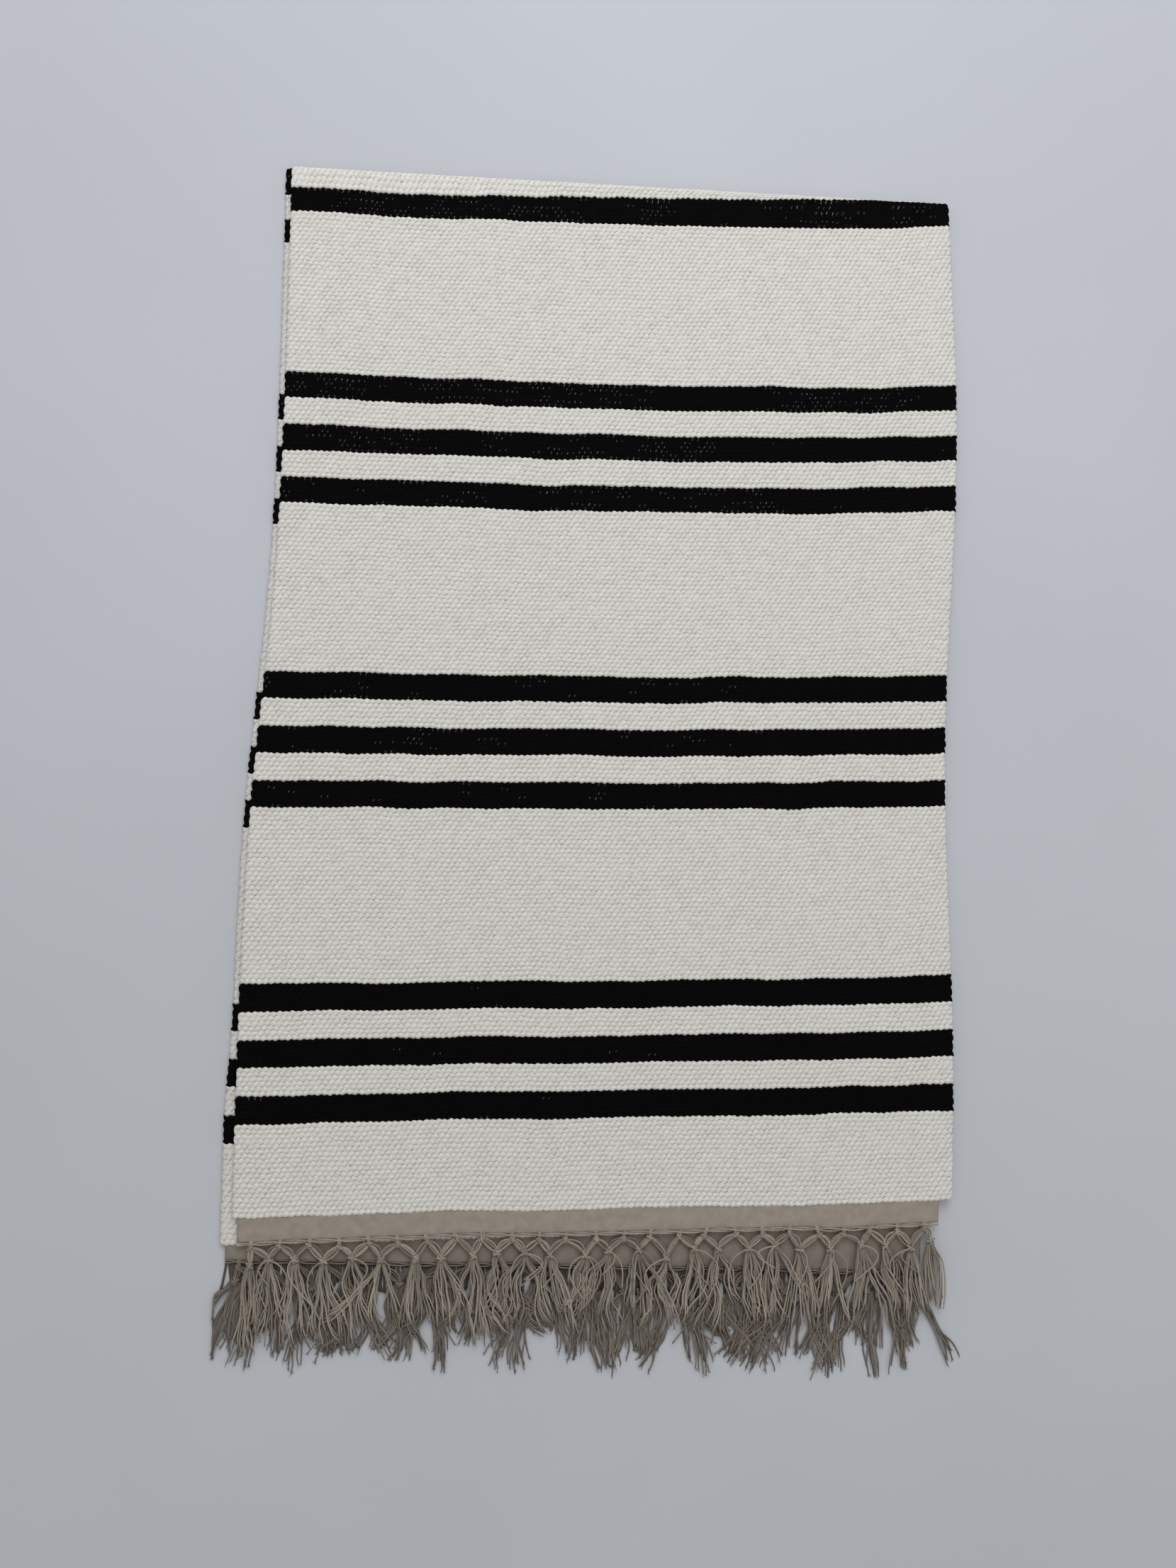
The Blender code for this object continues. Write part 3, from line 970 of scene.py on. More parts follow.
        # Painted shade: every end takes the darkest tone, for the deep shade in the gaps under the lower
        # header's end.
        gathered.add(paths, np.full((1, 1), 0.00095), 4, UP, np.zeros(count))

    def support(self, y: Array) -> Array:
        """The height at which strands rest: it eases down from the knots to the tips.

        Args:
            y: places along the rug.

        Returns:
            The height in metres at each of them.
        """
        top = float(self.second[:, 1].mean())
        fall = smoothstep((top - y) / (self.tassel * 0.85))
        return self.knot_height + (self.tip_height - self.knot_height) * fall

    def within(self, x: Array) -> Array:
        """Holds strands softly between the outermost places on both sides.

        Args:
            x: places across the rug.

        Returns:
            The same places, those near a limit drawn in to it.
        """
        soft = self.soft_limit
        x = self.least_x + soft * np.logaddexp(0.0, (x - self.least_x) / soft)
        return self.most_x - soft * np.logaddexp(0.0, (self.most_x - x) / soft)

    def tassels(self, material: bpy.types.Material) -> bpy.types.Object:
        """The strands that hang from the second knots, each frayed into thin fibres at its end.

        A strand's heading is its tassel's, plus its clump's, plus its own, and it changes along the strand by
        a bend and by waves of two lengths. Its path is the running sum of the heading's sine and cosine.

        Args:
            material: the strands' finish.

        Returns:
            The tassels, with their loose loops.
        """
        pick = self.random
        tassels, each, clumps = self.knots + 1, self.strands_per_tassel, self.clumps_per_tassel
        steps, shape = self.steps_per_strand, (tassels, each)
        part = np.linspace(0, 1, steps + 1)
        clump = (np.arange(each)[None, :] * clumps // each) * np.ones((tassels, 1), int)

        def of_clump(values: Array) -> Array:
            """Each strand's value out of those of its tassel's clumps."""
            return np.take_along_axis(values, clump, axis=1)

        clump_lean = of_clump(np.sort(pick.normal(0, 0.24, (tassels, clumps)), axis=1))
        clump_bend = of_clump(pick.normal(0, 0.34, (tassels, clumps)))
        clump_long = of_clump(pick.uniform(self.shortest, 1.10, (tassels, clumps)))
        tassel_lean = pick.normal(0, 0.13, (tassels, 1)) + np.linspace(-0.04, 0.08, tassels)[:, None]
        lean = tassel_lean + clump_lean + pick.normal(0, 0.075, shape)
        bend = clump_bend + pick.normal(0, 0.16, shape)
        phase = of_clump(pick.uniform(0, 1, (tassels, clumps))) + pick.normal(0, 0.07, shape)
        wave = pick.normal(0, 0.20, (tassels, 1, 1)) * np.sin(2 * math.pi * (1.3 * part + phase[..., None]))
        crimp_size = pick.normal(0, 0.10, shape)[..., None]
        crimp_pace = pick.uniform(2.2, 3.8, shape)[..., None]
        crimp_phase = pick.uniform(0, 1, shape)[..., None]
        crimp = crimp_size * np.sin(2 * math.pi * (crimp_pace * part + crimp_phase))
        start = smoothstep(part / 0.25)
        heading = start * (lean[..., None] + wave + crimp) + bend[..., None] * (part - 0.3)
        metres = self.tassel * clump_long * pick.uniform(0.86, 1.06, shape)
        step = (metres / steps)[..., None]
        rank = np.arange(each)[None, :] / (each - 1) - 0.5
        root_x = self.second[:, :1] + rank * self.root_width
        root_y = self.second[:, 1:2] - 0.0012 + pick.normal(0, 0.0004, shape)
        splay = 1.4 * self.root_width * rank[..., None] * smoothstep(part / 0.35)
        sideways, down = step * np.sin(heading), step * np.cos(heading)
        x = root_x[..., None] + splay + np.cumsum(sideways, axis=-1) - sideways[..., :1]
        y = root_y[..., None] - np.cumsum(down, axis=-1) + down[..., :1]
        stack = pick.uniform(0, 1, shape)[..., None]
        rest = self.support(y) + (stack - 0.30) * 0.0034 * smoothstep(part / 0.2)
        z = np.maximum(rest, self.strand + 0.0001)
        paths = np.stack([self.within(x), y, z], -1).reshape(-1, steps + 1, 3)
        taper = self.strand * (1 - 0.35 * smoothstep((part - 0.85) / 0.15))
        gathered = Strands.empty()
        # Painted light and shade: strands higher in the pile are paler, and every strand is darker near its
        # knot, easing out half way along; the rest of the tone is random.
        shade = (pick.uniform(0.22, 0.85, shape) + 0.25 * stack[..., 0]).reshape(-1)
        tone = self.paleness * shade[:, None] * (0.55 + 0.45 * smoothstep(part / 0.5))[None, :]
        gathered.add(paths, taper[None, :], 5, UP, tone)
        self.fray(gathered, paths, shade)
        self.loops(gathered)
        return gathered.build(f"{self.header.lay.leaf.value}_fringe_tassels", material)

    def fray(self, gathered: Strands, paths: Array, shade: Array) -> None:
        """Thin fibres past the end of every strand: straight on, plus a spread that grows as the square.

        Args:
            gathered: the piece that the fibres go to.
            paths: the strands, by points by 3.
            shade: how pale each strand is.
        """
        pick = self.random
        last, before = paths[:, -1], paths[:, -3]
        ahead = (last - before) / np.linalg.norm(last - before, axis=1, keepdims=True)
        side = np.stack([-ahead[:, 1], ahead[:, 0], np.zeros(len(ahead))], -1)
        part = np.linspace(0, 1, 3)[None, :, None]
        for _ in range(self.fibres_per_strand):
            reach = pick.uniform(0.0010, 0.0045, (len(paths), 1, 1))
            swing = pick.normal(0, 0.0007, (len(paths), 1, 1))
            fibre = last[:, None] - 0.0008 * ahead[:, None] + ahead[:, None] * reach * part
            fibre = fibre + side[:, None] * (swing * (0.3 * part + part**2))
            fibre[..., 2] = np.maximum(fibre[..., 2] + pick.normal(0, 0.0003, (len(paths), 1)), 0.0006)
            radii = 0.00030 * (1 - 0.4 * part[..., 0])
            gathered.add(fibre, radii, 3, UP, self.paleness * shade)

    def loops(self, gathered: Strands) -> None:
        """A few loose strands that swing out sideways from a knot and come back lower down.

        The swing is the sine of a power of the share along the strand, and the strand falls as another power.

        Args:
            gathered: the piece that the strands go to.
        """
        pick = self.random
        count = self.loose_loops
        root = self.second[pick.integers(1, self.knots, count)]
        part = np.linspace(0, 1, 17)[None, :]
        swing = pick.uniform(0.005, 0.017, (count, 1)) * pick.choice([-1.0, 1.0], (count, 1))
        drift = pick.normal(0, 0.008, (count, 1))
        x = root[:, :1] + swing * np.sin(math.pi * part**0.8) + drift * part
        y = root[:, 1:2] - pick.uniform(0.018, 0.05, (count, 1)) * part**1.2
        z = self.support(y) + 0.0026
        paths = np.stack([self.within(x), y, z], -1)
        tone = self.paleness * pick.uniform(0.5, 1.0, count)
        gathered.add(paths, np.full((1, 1), 0.9 * self.strand), 5, UP, tone)


# ---------------------------------------------------------------- finishes


class Graph:
    """Places nodes in a node tree and joins them."""

    def __init__(self, tree: bpy.types.NodeTree) -> None:
        """Takes the tree that the nodes go into."""
        self.tree = tree

    def node(self, kind: str, **settings: object) -> bpy.types.Node:
        """A new node with some of its settings changed.

        Args:
            kind: the node's type.
            settings: values by the name of the setting.

        Returns:
            The node.
        """
        made = self.tree.nodes.new(kind)
        for name, value in settings.items():
            setattr(made, name, value)
        return made

    def feed(self, socket: bpy.types.NodeSocket, value: object) -> None:
        """Links a socket to an output, or gives it a plain value.

        Args:
            socket: an input.
            value: another node's output, or a number, a colour or a vector.
        """
        if isinstance(value, bpy.types.NodeSocket):
            self.tree.links.new(value, socket)
        else:
            socket.default_value = value

    def math(self, operation: str, a: object, b: object = 0.0, clamp: bool = False) -> bpy.types.NodeSocket:
        """One Math node's result.

        Args:
            operation: the node's operation.
            a: its first value.
            b: its second value.
            clamp: True to hold the result between 0 and 1.

        Returns:
            The result's socket.
        """
        made = self.node("ShaderNodeMath", operation=operation, use_clamp=clamp)
        self.feed(made.inputs[0], a)
        self.feed(made.inputs[1], b)
        return made.outputs[0]

    def ease(
        self, value: object, low: float, high: float, to_low: float = 0.0, to_high: float = 1.0
    ) -> bpy.types.NodeSocket:
        """A value carried smoothly from one range to another.

        Args:
            value: the socket to carry over.
            low: where the first range starts.
            high: where it ends.
            to_low: what low becomes.
            to_high: what high becomes.

        Returns:
            The result's socket.
        """
        made = self.node("ShaderNodeMapRange", interpolation_type="SMOOTHSTEP")
        for socket, given in zip(made.inputs, (value, low, high, to_low, to_high)):
            self.feed(socket, given)
        return made.outputs[0]

    def noise(self, vector: object, scale: float, detail: float = 2.0) -> bpy.types.NodeSocket:
        """Fractal noise from 0 to 1.

        Args:
            vector: the place.
            scale: how many times finer than the place's unit it is.
            detail: how many finer layers are added.

        Returns:
            The noise's socket.
        """
        made = self.node("ShaderNodeTexNoise")
        self.feed(made.inputs["Vector"], vector)
        made.inputs["Scale"].default_value = scale
        made.inputs["Detail"].default_value = detail
        return made.outputs["Fac"]

    def vector(self, x: object, y: object, z: object = 0.0) -> bpy.types.NodeSocket:
        """Three numbers as a vector.

        Args:
            x: the first number.
            y: the second.
            z: the third.

        Returns:
            The vector's socket.
        """
        made = self.node("ShaderNodeCombineXYZ")
        for socket, value in zip(made.inputs, (x, y, z)):
            self.feed(socket, value)
        return made.outputs[0]

    def mix(self, share: object, a: object, b: object, kind: str = "MIX") -> bpy.types.NodeSocket:
        """Two colours mixed.

        Args:
            share: how much of the second colour is taken.
            a: the first colour.
            b: the second colour.
            kind: how they are mixed.

        Returns:
            The colour's socket.
        """
        made = self.node("ShaderNodeMix", data_type="RGBA", blend_type=kind)
        self.feed(made.inputs[0], share)
        self.feed(made.inputs[6], a)
        self.feed(made.inputs[7], b)
        return made.outputs[2]


@dataclass(frozen=True)
class GroupMaker:
    """Makes the node groups that several finishes share."""

    def start(
        self, name: str, inputs: dict[str, str], outputs: dict[str, str]
    ) -> tuple[Graph, bpy.types.Node, bpy.types.Node]:
        """A new group with named sockets, and its input and output nodes.

        Args:
            name: the group's name.
            inputs: each input's kind of socket, by its name.
            outputs: each output's kind of socket, by its name.

        Returns:
            The group's graph, its input node and its output node.
        """
        tree = bpy.data.node_groups.new(name, "ShaderNodeTree")
        for socket, kind in inputs.items():
            tree.interface.new_socket(name=socket, in_out="INPUT", socket_type=kind)
        for socket, kind in outputs.items():
            tree.interface.new_socket(name=socket, in_out="OUTPUT", socket_type=kind)
        graph = Graph(tree)
        return graph, graph.node("NodeGroupInput"), graph.node("NodeGroupOutput")

    def plain_weave(self) -> bpy.types.NodeTree:
        """The plain weave, from a place counted in bumps across and picks along.

        A bump's height falls off as a power of the distance from its middle, both ways, and it is tipped to
        one side. Both places wander slowly. Pit is 1 in some of the corners between bumps, Join is 1 where
        the warp shows between two bumps of a pick, Cell is random for each bump, Streak changes slowly along
        a pick, and Fibre is the twist of the yarn.

        Returns:
            The node group.
        """
        graph, given, out = self.start(
            "plain weave",
            {"Place": "NodeSocketVector"},
            {k: "NodeSocketFloat" for k in ("Height", "Pit", "Join", "Cell", "Streak", "Fibre")},
        )
        split = graph.node("ShaderNodeSeparateXYZ")
        graph.feed(split.inputs[0], given.outputs["Place"])
        wander = graph.noise(given.outputs["Place"], 0.55, 2.0)
        waver = graph.noise(graph.vector(split.outputs[1], split.outputs[0], 9.0), 0.6, 2.0)
        lift = graph.math("MULTIPLY", graph.math("SUBTRACT", waver, 0.5), 0.8)
        pick = graph.math("ADD", graph.math("ADD", split.outputs[1], 0.0005), lift)
        row = graph.math("FLOOR", pick)
        inside = graph.math("FRACT", pick)
        odd = graph.math("MULTIPLY", graph.math("MODULO", row, 2.0), 0.5)
        slanted = graph.math("MULTIPLY", graph.math("SUBTRACT", inside, 0.5), 0.34)
        loose = graph.math("MULTIPLY", graph.math("SUBTRACT", wander, 0.5), 0.85)
        moved = graph.math("ADD", slanted, loose)
        phase = graph.math("ADD", graph.math("ADD", split.outputs[0], odd), moved)
        place = graph.math("FRACT", phase)
        cell = graph.node("ShaderNodeTexWhiteNoise", noise_dimensions="3D")
        graph.feed(cell.inputs["Vector"], graph.vector(graph.math("FLOOR", phase), row, 3.0))
        corner = graph.node("ShaderNodeTexWhiteNoise", noise_dimensions="3D")
        half = graph.math("ADD", phase, 0.5)
        graph.feed(corner.inputs["Vector"], graph.vector(graph.math("FLOOR", half), row, 8.0))
        middle = graph.math("ABSOLUTE", graph.math("SUBTRACT", place, 0.5))
        upright = graph.math("ABSOLUTE", graph.math("SUBTRACT", inside, 0.5))
        falls = graph.math("POWER", graph.math("MULTIPLY", middle, 2.0), 2.6)
        drops = graph.math("POWER", graph.math("MULTIPLY", upright, 2.0), 3.0)
        fallen = graph.math("ADD", graph.math("MULTIPLY", falls, 0.75), graph.math("MULTIPLY", drops, 0.65))
        body = graph.math("SUBTRACT", 1.0, fallen, clamp=True)
        stretched = graph.vector(graph.math("MULTIPLY", split.outputs[0], 0.10), pick, 0.0)
        streak = graph.noise(stretched, 1.9, 4.0)
        fuzz = graph.vector(graph.math("MULTIPLY", split.outputs[0], 0.6), split.outputs[1], 5.0)
        grit = graph.noise(fuzz, 5.5, 4.0)
        twist = graph.math("ADD", graph.math("MULTIPLY", place, 4.0), graph.math("MULTIPLY", inside, 2.6))
        twist = graph.math("ADD", twist, graph.math("MULTIPLY", grit, 1.6))
        plies = graph.math("SINE", graph.math("MULTIPLY", twist, 2 * math.pi))
        fibre = graph.math("ADD", graph.math("MULTIPLY", plies, 0.5), 0.5)
        tipped = graph.math("MULTIPLY", graph.math("SUBTRACT", inside, 0.5), -0.42)
        tipped = graph.math("ADD", tipped, graph.math("MULTIPLY", graph.math("SUBTRACT", place, 0.5), 0.35))
        height = graph.math("MULTIPLY", body, graph.ease(cell.outputs["Value"], 0.0, 1.0, 0.70, 1.0))
        height = graph.math("ADD", height, graph.math("MULTIPLY", tipped, body))
        height = graph.math("ADD", height, graph.math("MULTIPLY", fibre, 0.08))
        height = graph.math("ADD", height, graph.math("MULTIPLY", grit, 0.95))
        join = graph.math("MULTIPLY", graph.ease(middle, 0.44, 0.475), graph.ease(upright, 0.30, 0.16))
        rough = graph.math("MULTIPLY", graph.math("SUBTRACT", grit, 0.5), 0.12)
        hole = graph.ease(graph.math("ADD", graph.math("MULTIPLY", middle, upright), rough), 0.115, 0.215)
        hole = graph.math("MULTIPLY", hole, graph.ease(corner.outputs["Value"], 0.15, 1.0, 0.05, 1.0))
        pit = graph.math("ADD", hole, graph.math("MULTIPLY", graph.ease(body, 0.55, 0.0), 0.30), clamp=True)
        graph.feed(out.inputs["Height"], height)
        graph.feed(out.inputs["Pit"], pit)
        graph.feed(out.inputs["Join"], join)
        graph.feed(out.inputs["Cell"], cell.outputs["Value"])
        graph.feed(out.inputs["Streak"], streak)
        graph.feed(out.inputs["Fibre"], fibre)
        return graph.tree

    def yarn_twist(self) -> bpy.types.NodeTree:
        """The twist of a strand, from metres along it and turns round it: slanting plies with some grit.

        Its height is a sine of the plies passed, counted along the strand and twice round it, plus the grit.

        Returns:
            The node group.
        """
        graph, given, out = self.start(
            "yarn twist",
            {"Place": "NodeSocketVector", "Plies per metre": "NodeSocketFloat"},
            {"Height": "NodeSocketFloat", "Grit": "NodeSocketFloat"},
        )
        split = graph.node("ShaderNodeSeparateXYZ")
        graph.feed(split.inputs[0], given.outputs["Place"])
        plies = graph.math("MULTIPLY", split.outputs[0], given.outputs["Plies per metre"])
        turn = graph.math("ADD", plies, graph.math("MULTIPLY", split.outputs[1], 2.0))
        wave = graph.math("SINE", graph.math("MULTIPLY", turn, 2 * math.pi))
        around = graph.math("MULTIPLY", split.outputs[1], 0.002)
        grit = graph.noise(graph.vector(split.outputs[0], around), 900.0)
        graph.feed(out.inputs["Height"], graph.math("ADD", graph.math("MULTIPLY", wave, 0.5), grit))
        graph.feed(out.inputs["Grit"], grit)
        return graph.tree


@dataclass(frozen=True)
class Finish:
    """One yarn's finish: its colours and how dull it is."""

    name: str
    pale: tuple[float, float, float, float]
    deep: tuple[float, float, float, float]
    specular: float = 0.12
    sheen: float = 0.0
    bump: float = 0.5

    def start(self) -> tuple[bpy.types.Material, Graph, bpy.types.Node]:
        """A new material with the plain values set on its shader.

        Returns:
            The material, its graph and its shader.
        """
        material = bpy.data.materials.new(self.name)
        material.use_nodes = True
        graph = Graph(material.node_tree)
        shader = material.node_tree.nodes["Principled BSDF"]
        shader.inputs["Metallic"].default_value = 0.0
        shader.inputs["Specular IOR Level"].default_value = self.specular
        shader.inputs["Sheen Weight"].default_value = self.sheen
        shader.inputs["Sheen Roughness"].default_value = 0.6
        return material, graph, shader

    def raise_surface(self, graph: Graph, shader: bpy.types.Node, height: object, distance: float) -> None:
        """Feeds a height into the shader's normal.

        Args:
            graph: the material's graph.
            shader: the material's shader.
            height: the height's socket.
            distance: metres that a height of 1 stands for.
        """
        bump = graph.node("ShaderNodeBump")
        bump.inputs["Strength"].default_value = self.bump
        bump.inputs["Distance"].default_value = distance
        graph.feed(bump.inputs["Height"], height)
        graph.feed(shader.inputs["Normal"], bump.outputs[0])

    def cloth_place(self, graph: Graph) -> bpy.types.NodeSocket:
        """The place on the piece's own map."""
        return graph.node("ShaderNodeUVMap", uv_map="Cloth").outputs[0]


@dataclass(frozen=True)
class BandFinish(Finish):
    """Thick weft in plain weave, with pits darkened as painted shade, uneven yarn and, on black, flecks of
    pale warp.
    """

    warp: tuple[float, float, float, float] = (0.36, 0.35, 0.32, 1.0)
    pit_painted_shade: float = 0.5
    warp_shows: bool = False

    def build(self, weave: bpy.types.NodeTree) -> bpy.types.Material:
        """Makes the material.

        Args:
            weave: the plain weave's group.

        Returns:
            The material.
        """
        material, graph, shader = self.start()
        pattern = graph.node("ShaderNodeGroup", node_tree=weave)
        graph.feed(pattern.inputs["Place"], self.cloth_place(graph))
        uneven = graph.math("MULTIPLY", graph.ease(pattern.outputs["Streak"], 0.48, 0.68), 0.55)
        spotted = graph.math("MULTIPLY", graph.ease(pattern.outputs["Cell"], 0.50, 1.0), 0.38)
        colour = graph.mix(graph.math("MAXIMUM", uneven, spotted), self.pale, self.deep)
        # Painted shade: the pits between bumps are darkened, and the colour follows the plies' twist, lighter
        # on their crests and darker between them.
        shade = graph.math("SUBTRACT", 1.0, graph.math("MULTIPLY", pattern.outputs["Pit"], self.pit_painted_shade))
        tone = graph.ease(pattern.outputs["Fibre"], 0.0, 1.0, 0.92, 1.03)
        shade = graph.math("MULTIPLY", shade, tone)
        colour = graph.mix(1.0, colour, graph.vector(shade, shade, shade), "MULTIPLY")
        if self.warp_shows:
            much = graph.node("ShaderNodeAttribute", attribute_name="Shade").outputs["Fac"]
            picked = graph.math("LESS_THAN", pattern.outputs["Cell"], much)
            colour = graph.mix(graph.math("MULTIPLY", picked, pattern.outputs["Join"]), colour, self.warp)
        graph.feed(shader.inputs["Base Color"], colour)
        graph.feed(shader.inputs["Roughness"], graph.ease(pattern.outputs["Height"], 0.0, 1.2, 1.0, 0.82))
        self.raise_surface(graph, shader, pattern.outputs["Height"], 0.0011)
        return material


@dataclass(frozen=True)
class HeaderFinish(Finish):
    """Fine weft, with a thread every millimetre or so."""

    thread: float = 0.0012

    def build(self, weave: bpy.types.NodeTree) -> bpy.types.Material:
        """Makes the material: the same weave, a few times finer, with soft mottling, painted shade in its
        pits and a painted shadow where the Shade attribute asks for one.

        Args:
            weave: the plain weave's group.

        Returns:
            The material.
        """
        material, graph, shader = self.start()
        scale = graph.node("ShaderNodeMapping")
        scale.inputs["Scale"].default_value = (1 / self.thread, 1.25 / self.thread, 1.0)
        graph.feed(scale.inputs["Vector"], self.cloth_place(graph))
        pattern = graph.node("ShaderNodeGroup", node_tree=weave)
        graph.feed(pattern.inputs["Place"], scale.outputs[0])
        mottled = graph.noise(self.cloth_place(graph), 120.0, 4.0)
        colour = graph.mix(graph.ease(mottled, 0.35, 0.70), self.pale, self.deep)
        # Painted shade: the weave's pits are darkened.
        shade = graph.math("SUBTRACT", 1.0, graph.math("MULTIPLY", pattern.outputs["Pit"], 0.22))
        colour = graph.mix(1.0, colour, graph.vector(shade, shade, shade), "MULTIPLY")
        # Painted shadow: the Shade attribute darkens the colour, on the lower leaf's header under the upper
        # leaf.
        painted_shadow_amount = graph.node("ShaderNodeAttribute", attribute_name="Shade").outputs["Fac"]
        unshadowed_share = graph.math("SUBTRACT", 1.0, painted_shadow_amount)
        colour = graph.mix(1.0, colour, graph.vector(unshadowed_share, unshadowed_share, unshadowed_share), "MULTIPLY")
        graph.feed(shader.inputs["Base Color"], colour)
        graph.feed(shader.inputs["Roughness"], graph.ease(mottled, 0.2, 0.8, 0.86, 0.98))
        self.raise_surface(graph, shader, pattern.outputs["Height"], 0.0003)
        return material


@dataclass(frozen=True)
class StrandFinish(Finish):
    """Loose strands, each a little paler or darker than the next, with painted shade carried in by the Shade
    attribute and the twist of their plies painted as light and shade.
    """

    plies: float = 700.0

    def build(self, twist: bpy.types.NodeTree) -> bpy.types.Material:
        """Makes the material.

        Args:
            twist: the yarn twist's group.

        Returns:
            The material.
        """
        material, graph, shader = self.start()
        pattern = graph.node("ShaderNodeGroup", node_tree=twist)
        graph.feed(pattern.inputs["Place"], self.cloth_place(graph))
        pattern.inputs["Plies per metre"].default_value = self.plies
        # The Shade attribute mixes each strand's own random tone with painted shade: darker near the knots,
        # on strands lower in the pile and on the lower leaf under the upper one.
        paleness = graph.node("ShaderNodeAttribute", attribute_name="Shade").outputs["Fac"]
        colour = graph.mix(paleness, self.deep, self.pale)
        # Painted shade and highlight: the colour is darker in the plies' grooves and lighter on their crests.
        shade = graph.ease(pattern.outputs["Height"], -0.3, 1.3, 0.82, 1.10)
        colour = graph.mix(1.0, colour, graph.vector(shade, shade, shade), "MULTIPLY")
        graph.feed(shader.inputs["Base Color"], colour)
        graph.feed(shader.inputs["Roughness"], graph.ease(pattern.outputs["Grit"], 0.2, 0.8, 0.84, 0.98))
        self.raise_surface(graph, shader, pattern.outputs["Height"], 0.0002)
        return material


@dataclass
class Wardrobe:
    """Every finish, made once."""

    def build(self) -> dict[Yarn, bpy.types.Material]:
        """Makes the groups and the materials.

        Returns:
            Each yarn's material.
        """
        groups = GroupMaker()
        weave, twist = groups.plain_weave(), groups.yarn_twist()
        ivory = BandFinish(
            "ivory cotton",
            (0.85, 0.82, 0.75, 1),
            (0.75, 0.69, 0.59, 1),
            specular=0.15,
            sheen=0.06,
            bump=0.78,
            pit_painted_shade=0.54,
        )
        black = BandFinish(
            "black cotton",
            (0.0030, 0.0030, 0.0033, 1),
            (0.0048, 0.0046, 0.0046, 1),
            specular=0.02,
            bump=0.5,
            warp_shows=True,
        )
        taupe = HeaderFinish("taupe cotton", (0.37, 0.318, 0.262, 1), (0.325, 0.277, 0.225, 1), bump=0.35)
        warp = HeaderFinish("warp cotton", (0.66, 0.64, 0.58, 1), (0.55, 0.52, 0.46, 1), thread=0.0025)
        fringe = StrandFinish("fringe cotton", (0.445, 0.380, 0.308, 1), (0.120, 0.098, 0.076, 1), sheen=0.05)
        return {
            Yarn.IVORY: ivory.build(weave),
            Yarn.BLACK: black.build(weave),
            Yarn.TAUPE: taupe.build(weave),
            Yarn.WARP: warp.build(weave),
            Yarn.FRINGE: fringe.build(twist),
        }


# ---------------------------------------------------------------- the rug


